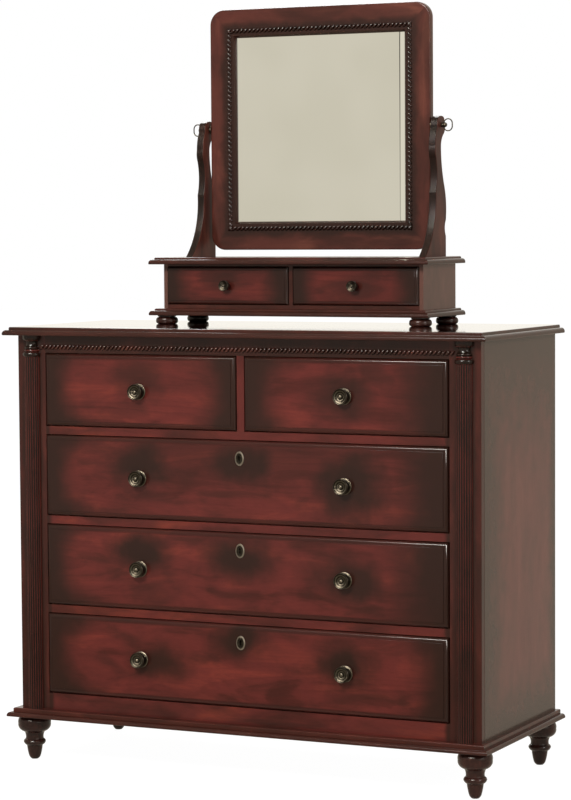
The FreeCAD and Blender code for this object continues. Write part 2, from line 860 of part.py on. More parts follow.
def drawer_box(label, centre_x, z, width, height, board_back, style):
    """Two grooved sides, a back and a bottom panel that slides into the grooves."""
    side, groove, bottom = style["side"], style["groove"], style["bottom"]
    outer = width / 2 - style["side_clearance"]
    inner = outer - side
    low = z + style["slide"]
    wall = height - style["top_clearance"] - style["slide"]
    length = style["back_y"] - board_back
    members = []
    for hand in (-1, 1):
        body = new_body(label + "Side", centre_x, style["back_y"], low)
        section = new_sketch(body, "XZ_Plane", "SideSection")
        x_out, x_in = hand * outer, hand * inner
        x_groove = x_in + hand * groove
        rise = style["rise"]
        trace(section, (x_out, ZERO),
              [(x_out, wall), (x_in, wall), (x_in, rise + bottom), (x_groove, rise + bottom),
               (x_groove, rise), (x_in, rise), (x_in, ZERO)])
        pad(body, section, length)
        members.append(body)
    panel_z = low + style["rise"]
    members.append(block(label + "Back", centre_x - inner, centre_x + inner,
                         style["back_y"] - side, style["back_y"],
                         panel_z + bottom, low + wall))
    members.append(block(label + "Bottom", centre_x - inner - groove,
                         centre_x + inner + groove, board_back - groove, style["back_y"],
                         panel_z, panel_z + bottom))
    return group(label + "_box", members)


def keyed(label, front, centre_x, y, z):
    """An oval escutcheon round a keyhole that runs on through the front."""
    turn = FreeCAD.Rotation(FreeCAD.Vector(1, 0, 0), 90)
    oval = document.addObject("Part::Ellipse", label + "Oval")
    bind(oval, "MajorRadius", s.escutcheon_height / 2)
    bind(oval, "MinorRadius", s.escutcheon_width / 2)
    oval.Placement.Rotation = turn.multiply(FreeCAD.Rotation(FreeCAD.Vector(0, 0, 1), 90))
    place(oval, centre_x, y, z)
    plate = document.addObject("Part::Extrusion", label + "Plate")
    plate.Base = oval
    plate.Solid = True
    plate.DirMode = "Custom"
    plate.Dir = FreeCAD.Vector(0, -1, 0)
    bind(plate, "LengthFwd", s.escutcheon_thickness)
    document.recompute()
    bevelled = document.addObject("Part::Chamfer", label + "Bevelled")
    bevelled.Base = plate
    rim = [i for i, edge in enumerate(plate.Shape.Edges, start=1)
           if at(edge.CenterOfMass.y, y - s.escutcheon_thickness)]
    bevelled.Edges = [(i, s.escutcheon_arris.number, s.escutcheon_arris.number) for i in rim]

    def keyhole(name, start, depth):
        hole = document.addObject("Part::Cylinder", name + "Round")
        hole.Placement.Rotation = turn
        bind(hole, "Radius", s.keyhole_diameter / 2)
        bind(hole, "Height", depth)
        place(hole, centre_x, start, z + s.keyhole_slot_length / 2)
        half = s.keyhole_slot_width / 2
        slot = block(name + "Slot", centre_x - half, centre_x + half, start - depth, start,
                     z - s.keyhole_slot_length / 2 - half, z + s.keyhole_slot_length / 2)
        return joined(name, "Fuse", hole, slot)

    through = keyhole(label + "Keyhole", y, s.escutcheon_thickness)
    node(label + "_escutcheon", joined(label + "Escutcheon", "Cut", bevelled, through))
    depth = s.front_edge_thickness - s.front_edge_proud + s.field_proud
    bored = keyhole(label + "FrontKeyhole", y + depth, depth)
    return joined(label + "FrontCut", "Cut", front, bored)


def drawer(label, centre_x, z, width, height, style, knob_offsets, keyhole=False):
    """One drawer: its front, box, knobs and any escutcheon."""
    front, board_back = drawer_front(label + "Front", centre_x, z, width, height, style)
    face = style["front_y"] - style["field_proud"]
    middle = z + height / 2
    if keyhole:
        drop = z + height - s.escutcheon_drop
        front = keyed(label, front, centre_x, face, drop)
    node(label + "_front", front)
    drawer_box(label, centre_x, z, width, height, board_back, style)
    knobs = [knob(label + "Knob", centre_x + offset, face, middle, style["knob"])
             for offset in knob_offsets]
    if len(knobs) > 1:
        group(label + "_knobs", knobs)
    else:
        node(label + "_knob", knobs[0])


def case_drawers():
    """Two short drawers side by side over three long ones."""
    short_width = opening_half - s.divider_width / 2
    short_centre = (opening_half + s.divider_width / 2) / 2
    for side, label in ((-1, "top_left_drawer"), (1, "top_right_drawer")):
        drawer(label, side * short_centre, short_opening_z, short_width,
               s.short_opening_height, case_drawer, [ZERO])
    spread = s.knob_spread / 2
    for level, label in enumerate(("lower_drawer", "middle_drawer", "upper_drawer")):
        drawer(label, ZERO, first_opening_z + level_step * level, opening_half * 2,
               s.long_opening_height, case_drawer, [-spread, spread], keyhole=True)


def stand_case():
    """The low stand: moulded base and top, sides, back, floor, rail and divider."""
    half = s.stand_width / 2
    inner = half - s.stand_side_thickness
    divider = s.stand_divider_width / 2
    inside_y = stand_back_y - s.stand_back_thickness
    rail_z = stand_opening_z + s.stand_opening_height
    width = s.stand_width + s.stand_overhang * 2
    depth = s.stand_depth + s.stand_front_overhang
    base = moulded_board("StandBase", width, depth, stand_back_y, stand_base_z,
                         s.stand_board_thickness, stand_edge)
    centres = [(x, y - stand_back_y) for x, y in stand_foot_centres()]
    blind_holes(base, "FootMortises", centres, s.stand_foot_tenon_diameter / 2,
                s.stand_foot_tenon_length)
    node("stand_base", base)
    top = moulded_board("StandTop", width, depth, stand_back_y, stand_top_z,
                        s.stand_board_thickness, stand_edge)
    for side, name in ((-1, "Left"), (1, "Right")):
        x0, x1 = tenon_span(side)
        y0, y1 = (upright_front_y + y for y in tenon_reach)
        mortise = block(name + "Mortise", x0, x1, y0, y1,
                        upright_z - s.upright_tenon_length, upright_z)
        top = joined("StandTop" + name + "Mortised", "Cut", top, mortise)
    node("stand_top", top)
    group("stand_sides", [
        block("StandLeftSide", -half, -inner, stand_front_y, stand_back_y, stand_z, stand_top_z),
        block("StandRightSide", inner, half, stand_front_y, stand_back_y, stand_z, stand_top_z)])
    node("stand_back", block("StandBack", -inner, inner, inside_y, stand_back_y,
                             stand_z, stand_top_z))
    node("stand_floor", block("StandFloor", -inner, inner, stand_front_y, inside_y,
                              stand_z, stand_opening_z))
    node("stand_rail", block("StandRail", -inner, inner, stand_front_y,
                             stand_front_y + s.panel_thickness, rail_z, stand_top_z))
    node("stand_divider", block("StandDivider", -divider, divider, stand_front_y, inside_y,
                                stand_opening_z, rail_z))


def stand_foot_centres():
    """Where the stand's bun feet sit on the top."""
    x = s.stand_width / 2 + s.stand_overhang - s.stand_foot_inset_side
    front = stand_front_y - s.stand_front_overhang + s.stand_foot_inset_front
    back = stand_back_y - s.stand_foot_inset_back
    return [(side * x, y) for y in (front, back) for side in (-1, 1)]


def stand_feet():
    """Four bun feet under slim rings, with round tenons."""
    members = []
    tread, tenon = s.stand_foot_tread_diameter / 2, s.stand_foot_tenon_diameter / 2
    neck, ring = s.stand_foot_neck_diameter / 2, s.stand_foot_ring_diameter / 2
    rise = s.stand_foot_height
    tenon_top = rise + s.stand_foot_tenon_length
    for x, y in stand_foot_centres():
        body = new_body("StandFoot", x, y, top_z)
        turned(body, (ZERO, ZERO), [
            (tread, ZERO),
            (s.stand_foot_diameter / 2, rise * BUN_BELLY_SHARE, BUN_BULGE_SHARE),
            (neck, rise * BUN_NECK_SHARE, BUN_BULGE_SHARE),
            (ring, rise * BUN_RING_SHARE), (ring, rise), (tenon, rise),
            (tenon, tenon_top), (ZERO, tenon_top)])
        members.append(body)
    group("stand_feet", members)


def stand_drawers():
    """Two small drawers side by side."""
    inner = s.stand_width / 2 - s.stand_side_thickness
    divider = s.stand_divider_width / 2
    for side, label in ((-1, "stand_left_drawer"), (1, "stand_right_drawer")):
        drawer(label, side * (inner + divider) / 2, stand_opening_z, inner - divider,
               s.stand_opening_height, small_drawer, [ZERO])


tenon_reach = (s.upright_tenon_margin, s.upright_depth - s.upright_tenon_margin)


def tenon_span(side):
    """A tenon's reach in X, lowest first."""
    middle = side * (upright_inner_x + s.upright_thickness / 2)
    half = s.upright_tenon_thickness / 2
    return middle - half, middle + half


def uprights():
    """Two sawn, softened uprights, tenoned below and bored for the pivots."""
    depth, height = s.upright_depth, s.upright_height
    for side, label in ((-1, "left_upright"), (1, "right_upright")):
        low_x = upright_inner_x if side > 0 else -upright_inner_x - s.upright_thickness
        body = new_body(label, low_x, upright_front_y, upright_z)
        outline = new_sketch(body, "YZ_Plane", "UprightOutline")
        trace(outline, (ZERO, ZERO),
              [(depth * y, height * z, bulge) for y, z, bulge in UPRIGHT_SHARES],
              UPRIGHT_SWEEP_SHARE)
        last = pad(body, outline, s.upright_thickness)
        last = dress(body, "Fillet", "CornerRound", last, s.upright_corner_radius,
                     lambda p, e: at(p.x, s.upright_thickness / 2) and not at(p.z, ZERO))
        faces = (ZERO, s.upright_thickness)
        dress(body, "Fillet", "UprightArris", last, s.upright_arris,
              lambda p, e: any(at(p.x, x) for x in faces) and not at(p.z, ZERO))
        margin = (s.upright_thickness - s.upright_tenon_thickness) / 2
        section = new_sketch(body, "XY_Plane", "TenonOutline")
        rectangle(section, margin, tenon_reach[0], s.upright_thickness - margin, tenon_reach[1])
        tenon = pad(body, section, s.upright_tenon_length, "Tenon")
        tenon.Reversed = True
        document.recompute()
        bore = new_sketch(body, "YZ_Plane", "PivotBore")
        circle(bore, s.pivot_depth, height - s.pivot_drop,
               s.screw_diameter / 2 + s.screw_clearance)
        pocket(body, bore, s.upright_thickness, "Bore")
        node(label, body)


def frame_blank():
    """The mirror frame before it is cut at its mitres."""
    half_x, half_z = s.mirror_width / 2, s.mirror_height / 2
    body = new_body("FrameBlank", ZERO, pivot_y + s.mirror_thickness / 2,
                    pivot_z - s.pivot_rise)
    outline = new_sketch(body, "XZ_Plane", "FrameOutline")
    rectangle(outline, -half_x, -half_z, half_x, half_z)
    last = pad(body, outline, s.mirror_thickness, "Blank")
    last = dress(body, "Fillet", "CornerRound", last, s.mirror_corner_radius,
                 lambda p, e: at(abs(p.x), half_x) and at(abs(p.z), half_z))
    faces = (ZERO, -s.mirror_thickness)
    dress(body, "Fillet", "OuterArris", last, s.mirror_arris,
          lambda p, e: any(at(p.y, y) for y in faces))
    member = s.mirror_member_width
    sight = new_sketch(body, "XZ_Plane", "SightOpening")
    rectangle(sight, member - half_x, member - half_z, half_x - member, half_z - member)
    last = pocket(body, sight, s.mirror_thickness, "Sight")
    slope = body.newObject("PartDesign::Chamfer", "SightSlope")
    slope.Base = (last, edges_of(last, lambda p, e: at(p.y, -s.mirror_thickness) and (
        at(abs(p.x), half_x - member) or at(abs(p.z), half_z - member))))
    slope.ChamferType = "Two distances"
    bind(slope, "Size", s.mirror_slope_width)
    bind(slope, "Size2", s.mirror_slope_depth)
    slope.FlipDirection = True
    document.recompute()
    rebate_x = half_x - member + s.mirror_rebate_width
    rebate_z = half_z - member + s.mirror_rebate_width
    rebate = new_sketch(body, "XZ_Plane", "RebateOutline")
    rectangle(rebate, -rebate_x, -rebate_z, rebate_x, rebate_z)
    pocket(body, rebate, s.mirror_rebate_depth, "Rebate")
    return body


def mitre_wedges():
    """Four prisms that part a rectangular ring at its mitres."""
    half_x, half_z = s.mirror_width / 2, s.mirror_height / 2
    reach = s.mirror_member_width + s.mirror_rebate_width
    wedges = {}
    spans = {"top": (0, 1), "bottom": (0, -1), "left": (-1, 0), "right": (1, 0)}
    for name, (dx, dz) in spans.items():
        body = new_body(name + "Wedge", ZERO, pivot_y + s.mirror_thickness,
                        pivot_z - s.pivot_rise)
        sketch = new_sketch(body, "XZ_Plane", "WedgeOutline")
        if dz:
            outer, inner = dz * half_z, dz * (half_z - reach)
            trace(sketch, (-half_x, outer),
                  [(half_x, outer), (half_x - reach, inner), (reach - half_x, inner)])
        else:
            outer, inner = dx * half_x, dx * (half_x - reach)
            trace(sketch, (outer, -half_z),
                  [(outer, half_z), (inner, half_z - reach), (inner, reach - half_z)])
        pad(body, sketch, s.mirror_thickness * 2)
        wedges[name] = body
    return wedges


def mirror():
    """The swing mirror: mitred frame, rope strips, bevelled glass and backing."""
    blank = frame_blank()
    wedges = mitre_wedges()
    half_x, half_z = s.mirror_width / 2, s.mirror_height / 2
    middle_z = pivot_z - s.pivot_rise
    hole_depth = s.screw_reach + s.screw_clearance
    for name, label in (("top", "mirror_top_rail"), ("bottom", "mirror_bottom_rail")):
        node(label, joined(label, "Common", blank, wedges[name]))
    for side, name in ((-1, "left"), (1, "right")):
        stile = joined(name + "Stile", "Common", blank, wedges[name])
        hole = document.addObject("Part::Cylinder", name + "PivotHole")
        hole.Placement.Rotation = FreeCAD.Rotation(FreeCAD.Vector(0, 1, 0), 90)
        bind(hole, "Radius", s.screw_diameter / 2 + s.screw_clearance)
        bind(hole, "Height", hole_depth)
        place(hole, half_x - hole_depth if side > 0 else -half_x, pivot_y, pivot_z)
        node(f"mirror_{name}_stile", joined(f"mirror_{name}_stile", "Cut", stile, hole))
    rope_blank = new_body("RopeBlank", ZERO, pivot_y - s.mirror_thickness / 2, middle_z)
    ring = new_sketch(rope_blank, "XZ_Plane", "RopeOutline")
    outer, inner = s.mirror_rope_inset, s.mirror_rope_inset + s.rope_width
    rectangle(ring, outer - half_x, outer - half_z, half_x - outer, half_z - outer)
    pad(rope_blank, ring, s.rope_height)
    opening = new_sketch(rope_blank, "XZ_Plane", "RopeOpening")
    rectangle(opening, inner - half_x, inner - half_z, half_x - inner, half_z - inner)
    last = pocket(rope_blank, opening, s.rope_height)
    dress(rope_blank, "Fillet", "RopeRound", last, s.rope_arris,
          lambda p, e: at(p.y, -s.rope_height))
    group("mirror_rope_moulding", [joined(name + "Rope", "Common", rope_blank, wedge)
                                   for name, wedge in wedges.items()])
    shoulder_y = pivot_y + s.mirror_thickness / 2 - s.mirror_rebate_depth
    rebate_x = half_x - s.mirror_member_width + s.mirror_rebate_width
    rebate_z = half_z - s.mirror_member_width + s.mirror_rebate_width
    glass_x, glass_z = rebate_x - s.glass_edge_gap, rebate_z - s.glass_edge_gap
    under = s.mirror_rebate_width - s.glass_edge_gap
    forward = s.glass_bevel_depth * under / s.glass_bevel_width
    glass = new_body("Glass", ZERO, shoulder_y - forward + s.glass_thickness, middle_z)
    pane = new_sketch(glass, "XZ_Plane", "PaneOutline")
    rectangle(pane, -glass_x, -glass_z, glass_x, glass_z)
    last = pad(glass, pane, s.glass_thickness)
    bevel = glass.newObject("PartDesign::Chamfer", "Bevel")
    bevel.Base = (last, edges_of(last, lambda p, e: at(p.y, -s.glass_thickness)))
    bevel.ChamferType = "Two distances"
    bind(bevel, "Size", s.glass_bevel_width)
    bind(bevel, "Size2", s.glass_bevel_depth)
    bevel.FlipDirection = True
    document.recompute()
    node("mirror_glass", glass)
    backing_y = shoulder_y - forward + s.glass_thickness
    node("mirror_backing", block("Backing", -rebate_x, rebate_x, backing_y,
                                 backing_y + s.backing_thickness,
                                 middle_z - rebate_z, middle_z + rebate_z))


def pivot_plates():
    """Two turned brass plates on the frame's edges, bored for the screws."""
    members = []
    boss = s.pivot_gap - s.plate_running_gap
    bore = s.screw_diameter / 2 + s.screw_clearance
    for side in (-1, 1):
        body = new_body("PivotPlate", side * s.mirror_width / 2, pivot_y, pivot_z)
        body.Placement.Rotation = FreeCAD.Rotation(FreeCAD.Vector(0, 1, 0), side * 90)
        turned(body, (bore, ZERO), [
            (s.plate_diameter / 2, ZERO), (s.plate_diameter / 2, s.plate_thickness),
            (s.plate_boss_diameter / 2, s.plate_thickness),
            (s.plate_boss_diameter / 2, boss), (bore, boss)])
        members.append(body)
    group("mirror_pivot_plates", members)


def rod(name, radius, x0, x1):
    """A round bar along X on the pivot line, between two places."""
    made = document.addObject("Part::Cylinder", name)
    made.Placement.Rotation = FreeCAD.Rotation(FreeCAD.Vector(0, 1, 0), 90)
    low, high = sorted((x0, x1), key=lambda v: v.number)
    bind(made, "Radius", radius)
    bind(made, "Height", high - low)
    place(made, low, pivot_y, pivot_z)
    return made


def ring_head(label, centre_x):
    """An oval ring of round wire: two half rings and two straight sides."""
    wire = s.screw_ring_wire / 2
    bend = s.screw_ring_width / 2 - wire
    straight = s.screw_ring_height / 2 - wire - bend
    pieces = []
    for up, name in ((1, "Upper"), (-1, "Lower")):
        half = document.addObject("Part::Torus", label + name + "Bend")
        half.Placement.Rotation = FreeCAD.Rotation(FreeCAD.Vector(1, 0, 0), up * 90)
        half.Angle3 = 180
        bind(half, "Radius1", bend)
        bind(half, "Radius2", wire)
        place(half, centre_x, pivot_y, pivot_z + up * straight)
        pieces.append(half)
    for out, name in ((-1, "Near"), (1, "Far")):
        side = document.addObject("Part::Cylinder", label + name + "Side")
        bind(side, "Radius", wire)
        bind(side, "Height", straight * 2)
        place(side, centre_x + out * bend, pivot_y, pivot_z - straight)
        pieces.append(side)
    return pieces


def thumbscrews():
    """Two screws that clamp the mirror, each with a collar, a ball and a ring."""
    collar_x = upright_inner_x + s.upright_thickness + s.plate_running_gap
    ball_x = collar_x + s.screw_collar_thickness + s.screw_ball_diameter / 2
    tip_x = s.mirror_width / 2 - s.screw_reach
    collar_end = collar_x + s.screw_collar_thickness + s.screw_ball_diameter / 4
    for side, label in ((-1, "left_thumbscrew"), (1, "right_thumbscrew")):
        shank = rod(label + "Shank", s.screw_diameter / 2, side * tip_x, side * ball_x)
        collar = rod(label + "Collar", s.screw_collar_diameter / 2,
                     side * collar_x, side * collar_end)
        ball = document.addObject("Part::Sphere", label + "Ball")
        # The seam of the ball faces outwards, away from the collar
        ball.Placement.Rotation = FreeCAD.Rotation(FreeCAD.Vector(0, 0, 1), 90 - side * 90)
        bind(ball, "Radius", s.screw_ball_diameter / 2)
        place(ball, side * ball_x, pivot_y, pivot_z)
        screw = document.addObject("Part::MultiFuse", label)
        screw.Shapes = [shank, collar, ball,
                        *ring_head(label, side * (ball_x + s.screw_ring_lead))]
        node(label, screw)


def build():
    """Make every sub-part, check it and write its file."""
    for make in (case_boards, feet, side_panels, back_panel, posts, columns, front_frame,
                 runners_and_guides, case_drawers, stand_case, stand_feet, stand_drawers,
                 uprights, mirror, pivot_plates, thumbscrews):
        make()
    document.recompute()
    for thing in document.Objects:
        if "Invalid" in thing.State or "Error" in thing.State:
            raise RuntimeError(f"{thing.Label} failed: {thing.State}")
    os.makedirs("parts", exist_ok=True)
    for label, thing in nodes.items():
        if thing.Shape.isNull() or not thing.Shape.isValid():
            raise RuntimeError(f"{label} has no valid shape")
    for label, thing in nodes.items():
        thing.Shape.exportStep(f"parts/{label}.step")
        print(f"{label}: {len(thing.Shape.Solids)} solid(s), {thing.Shape.Volume:.0f} mm3")
    print(f"{len(nodes)} nodes, overall height {pivot_z.number + s.mirror_height.number / 2}")


build()
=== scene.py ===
"""Looks of a cherry chest dresser with a swing mirror.

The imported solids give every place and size. This script welds and smooths
copies of the turned and moulded ones, carves the rope mouldings strand by
strand, adds the small fixings behind, and finishes all of it: red cherry
burnished through a dark glaze under gloss lacquer, and antiqued brass.
"""
import functools
import json
import math

import bmesh
import bpy
from mathutils import Matrix, Vector


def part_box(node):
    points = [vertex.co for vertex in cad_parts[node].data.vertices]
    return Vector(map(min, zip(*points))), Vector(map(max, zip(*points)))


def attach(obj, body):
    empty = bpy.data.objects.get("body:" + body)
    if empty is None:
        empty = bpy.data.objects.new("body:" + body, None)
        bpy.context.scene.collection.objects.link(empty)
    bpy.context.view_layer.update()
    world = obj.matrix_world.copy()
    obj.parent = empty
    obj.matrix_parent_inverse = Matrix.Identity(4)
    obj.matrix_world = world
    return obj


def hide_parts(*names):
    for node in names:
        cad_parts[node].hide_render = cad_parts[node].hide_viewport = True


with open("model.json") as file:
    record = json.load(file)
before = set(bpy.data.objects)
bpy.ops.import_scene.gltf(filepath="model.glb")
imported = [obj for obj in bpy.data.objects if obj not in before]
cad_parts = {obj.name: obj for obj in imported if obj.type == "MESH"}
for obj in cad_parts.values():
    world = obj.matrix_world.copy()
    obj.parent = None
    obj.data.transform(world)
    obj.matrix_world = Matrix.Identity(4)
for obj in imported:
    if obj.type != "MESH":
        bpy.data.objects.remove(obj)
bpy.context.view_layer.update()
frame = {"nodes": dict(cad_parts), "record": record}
nodes = frame["nodes"]
body_of = {node: body for body, members in frame["record"]["behaviour"]["bodies"].items()
           for node in members}

MM = 0.001
FLOOR_Z = 0.0

# The camera, from the straight edges of the photographed case
CAMERA_PLACE = (2.8397, -5.9313, 1.3112)
CAMERA_YAW_DEGREES = 25.513
CAMERA_PITCH_DEGREES = 3.697
CAMERA_ROLL_DEGREES = 0.38
CAMERA_LENS = 122.2
CAMERA_SENSOR = 36.0
CAMERA_REACH = 100.0

DRAWERS = ("top_left_drawer", "top_right_drawer", "upper_drawer", "middle_drawer",
           "lower_drawer", "stand_left_drawer", "stand_right_drawer")


def paint(hex_code):
    """An sRGB hex value as linear red, green, blue and full alpha."""
    channels = [int(hex_code[i:i + 2], 16) / 255 for i in (1, 3, 5)]
    linear = [c / 12.92 if c <= 0.04045 else ((c + 0.055) / 1.055) ** 2.4 for c in channels]
    return (*linear, 1.0)


def give(node, inputs):
    """Link a node's inputs to sockets or set them to values."""
    for key, value in inputs.items():
        if isinstance(value, bpy.types.NodeSocket):
            node.id_data.links.new(value, node.inputs[key])
        else:
            node.inputs[key].default_value = value


def put(tree, kind, inputs=None, **settings):
    """Add one node, with its settings by name and its inputs as links or values."""
    node = tree.nodes.new(kind)
    for name, value in settings.items():
        setattr(node, name, value)
    give(node, inputs or {})
    return node


def put_with(kind, inputs, **settings):
    """Add one node to the tree that the sockets among its inputs belong to."""
    tree = next(value.id_data for value in inputs.values()
                if isinstance(value, bpy.types.NodeSocket))
    return put(tree, kind, inputs, **settings).outputs


def step(operation):
    """A function that takes one arithmetic step with numbers and sockets."""
    def result(*values, clamp=False):
        return put_with("ShaderNodeMath", dict(enumerate(values)), operation=operation,
                        use_clamp=clamp)[0]
    return result


plus, minus, times, over = map(step, ("ADD", "SUBTRACT", "MULTIPLY", "DIVIDE"))
larger, smaller, power, root = map(step, ("MAXIMUM", "MINIMUM", "POWER", "SQRT"))
unsigned, fraction, bearing_of = map(step, ("ABSOLUTE", "FRACT", "ARCTAN2"))
more_than, less_than = map(step, ("GREATER_THAN", "LESS_THAN"))


def vector_step(operation, *values):
    """One step of arithmetic with vectors."""
    return put_with("ShaderNodeVectorMath", dict(enumerate(values)), operation=operation)


def fade(value, start, end, first=0.0, last=1.0):
    """A smooth change from first to last while value goes from start to end."""
    inputs = {"Value": value, "From Min": start, "From Max": end, "To Min": first,
              "To Max": last}
    return put_with("ShaderNodeMapRange", inputs, interpolation_type="SMOOTHSTEP")["Result"]


def blend_paint(factor, first, second):
    """One colour laid over another by a factor."""
    return put_with("ShaderNodeMix", {"Factor": factor, "A": first, "B": second},
                    data_type="RGBA")["Result"]


def noise(place, scale, detail=2.0, roughness=0.5, distortion=0.0):
    """Smooth noise about a half, at so many bumps a metre."""
    inputs = {"Vector": place, "Scale": scale, "Detail": detail, "Roughness": roughness,
              "Distortion": distortion}
    return put_with("ShaderNodeTexNoise", inputs)["Fac"]


def parts_of(vector):
    """The X, Y and Z of a vector."""
    return put_with("ShaderNodeSeparateXYZ", {"Vector": vector})


def bump(height, strength, depth):
    """The normal of a surface with a low relief."""
    return put_with("ShaderNodeBump", {"Height": height, "Strength": strength,
                                       "Distance": depth})["Normal"]


def new_material(name):
    """An empty material with its shader and object coordinates."""
    material = bpy.data.materials.new(name)
    material.use_nodes = True
    tree = material.node_tree
    shader = tree.nodes["Principled BSDF"]
    place = put(tree, "ShaderNodeTexCoord").outputs["Object"]
    return material, shader, place


# Cherry: grain runs along one axis. Vessels are too fine to show, so they are drawn
# wider than they grow.
VESSEL = 1.0 * MM
STREAK = 6.0 * MM
FIGURE = 60.0 * MM
GRAIN_STRETCH_SHARE = 18.0
FIGURE_STRETCH_SHARE = 3.5
# Growth rings cut by the saw show as long ovals and arches of thin dark lines
RING_PITCH = 7.0 * MM
RING_STRETCH_SHARE = 10.0
RING_DEPTH = 45.0 * MM
# They show clearly only this near the heart
RING_NEAR = 52.0 * MM
RING_FAR = 90.0 * MM
RING_FAR_STRENGTH = 0.2
# Each ring deepens slowly and ends at once, at these shares of the pitch, and wanders
# by so many pitches
RING_RISE_SHARES = (0.45, 0.86)
RING_FALL_SHARES = (0.93, 1.0)
RING_WANDER = 1.6
RING_STRENGTH = 0.38
# How much of the tone is figure, the rest being streaks, and where it turns from the
# deep stain to the middle one and on to the bright one
FIGURE_SHARE = 0.85
TONE_STEPS = (0.30, 0.50, 0.70)
VESSEL_STEPS = (0.30, 0.52)
VESSEL_SHADE = 0.86
VESSEL_RELIEF_SHARE = 0.5
CHERRY_IOR = 1.5
# The gloss lacquer is rubbed out, so its reflections are sharp but not glassy
LACQUER_ROUGHNESS = 0.17
LACQUER_SHEEN = 0.25
LACQUER_RELIEF = 0.10
RELIEF_DEPTH = 0.15 * MM
# The top is polished further, and mirrors what stands on it
POLISH_ROUGHNESS = 0.05
POLISH_SHEEN = 0.5


def squeeze(axis, stretch):
    """A scale that squeezes one axis so many times."""
    return [1.0 / stretch if letter == axis else 1.0 for letter in "XYZ"]


def along(place, axis, offset, stretch=GRAIN_STRETCH_SHARE):
    """Object coordinates squeezed along the grain, so noise stretches into grain."""
    return put_with("ShaderNodeMapping", {"Vector": place, "Scale": squeeze(axis, stretch),
                                          "Location": offset})["Vector"]


def growth_rings(place, axis, heart, wander):
    """Thin dark lines round the tree's heart, which lies at a slant behind the board."""
    from_heart = vector_step("SUBTRACT", place, heart)["Vector"]
    squeezed = vector_step("MULTIPLY", from_heart,
                           squeeze(axis, RING_STRETCH_SHARE))["Vector"]
    far = vector_step("LENGTH", squeezed)["Value"]
    count = plus(over(far, RING_PITCH), times(wander, RING_WANDER))
    share = fraction(count)
    line = times(fade(share, *RING_RISE_SHARES), fade(share, *RING_FALL_SHARES, 1.0, 0.0))
    return times(line, fade(far, RING_NEAR, RING_FAR, 1.0, RING_FAR_STRENGTH))


def cherry_grain(place, axis, offset, tones, heart=None):
    """The stained cherry's colour and its height for bump."""
    deep, middle, bright = [paint(tone) for tone in tones]
    grain = along(place, axis, offset)
    broad = along(place, axis, offset, FIGURE_STRETCH_SHARE)
    figure = noise(broad, 1 / FIGURE, detail=4.0, distortion=1.0)
    streak = noise(grain, 1 / STREAK, detail=4.0, roughness=0.6)
    vessel = noise(grain, 1 / VESSEL, detail=2.0)
    tone = plus(times(figure, FIGURE_SHARE), times(streak, 1 - FIGURE_SHARE))
    lower = fade(tone, *TONE_STEPS[:2])
    upper = fade(tone, *TONE_STEPS[1:])
    colour = blend_paint(upper, blend_paint(lower, deep, middle), bright)
    if heart is not None:
        line = growth_rings(place, axis, heart, figure)
        colour = blend_paint(times(line, RING_STRENGTH), colour, deep)
    shade = fade(vessel, *VESSEL_STEPS, VESSEL_SHADE, 1.0)
    grey = put_with("ShaderNodeCombineColor",
                    dict.fromkeys(("Red", "Green", "Blue"), shade))["Color"]
    colour = put_with("ShaderNodeMix", {"Factor": 1.0, "A": colour, "B": grey},
                      data_type="RGBA", blend_type="MULTIPLY")["Result"]
    return colour, plus(times(vessel, VESSEL_RELIEF_SHARE), streak)


def lacquer(shader, colour, height, roughness=LACQUER_ROUGHNESS, sheen=LACQUER_SHEEN):
    """Gloss lacquer over a colour, with a trace of the grain telegraphing through."""
    give(shader, {"Base Color": colour, "Roughness": roughness, "IOR": CHERRY_IOR,
                  "Specular IOR Level": sheen,
                  "Normal": bump(height, LACQUER_RELIEF, RELIEF_DEPTH)})


def polish(material):
    """Give a lacquer its last polish and a second clear coat."""
    give(material.node_tree.nodes["Principled BSDF"],
         {"Roughness": POLISH_ROUGHNESS, "Specular IOR Level": POLISH_SHEEN,
          "Coat Weight": 1.0, "Coat Roughness": POLISH_ROUGHNESS})
    return material


def cherry(name, axis, tones):
    """Stained cherry with no glaze pattern of its own."""
    material, shader, place = new_material(name)
    lacquer(shader, *cherry_grain(place, axis, (0.0, 0.0, 0.0), tones))
    return material


# Tones of the stain, from deep to bright, and of the dark glaze wiped over it
BURNISHED = ("#451B16", "#5E2520", "#722E25")
RAIL_TONES = ("#461C17", "#5C2520", "#722F24")
FRAME_TONES = ("#3E1F18", "#552A22", "#6C3B2E")
CASE_TONES = ("#301813", "#421D17", "#56271F")
BOARD_TONES = ("#381911", "#4C2119", "#602C22")
SIDE_TONES = ("#643A33", "#6B3E36", "#73433A")
STAND_SIDE_TONES = ("#744840", "#855248", "#945C51")
TURNED_TONES = ("#251612", "#331C17", "#43241D")
GLAZE = "#2B1711"
SIDE_GLAZE = "#40342B"
BLACK_GLAZE = "#1A110C"
# Glaze wanders off its even outline in bumps of this size
GLAZE_WANDER = 50.0 * MM
# A thin, uneven film of glaze stays even where the wood is burnished
FILM_STRENGTH = 0.6
FILM_STRETCH_SHARE = 2.5
FILM_STEPS = (0.42, 0.72)


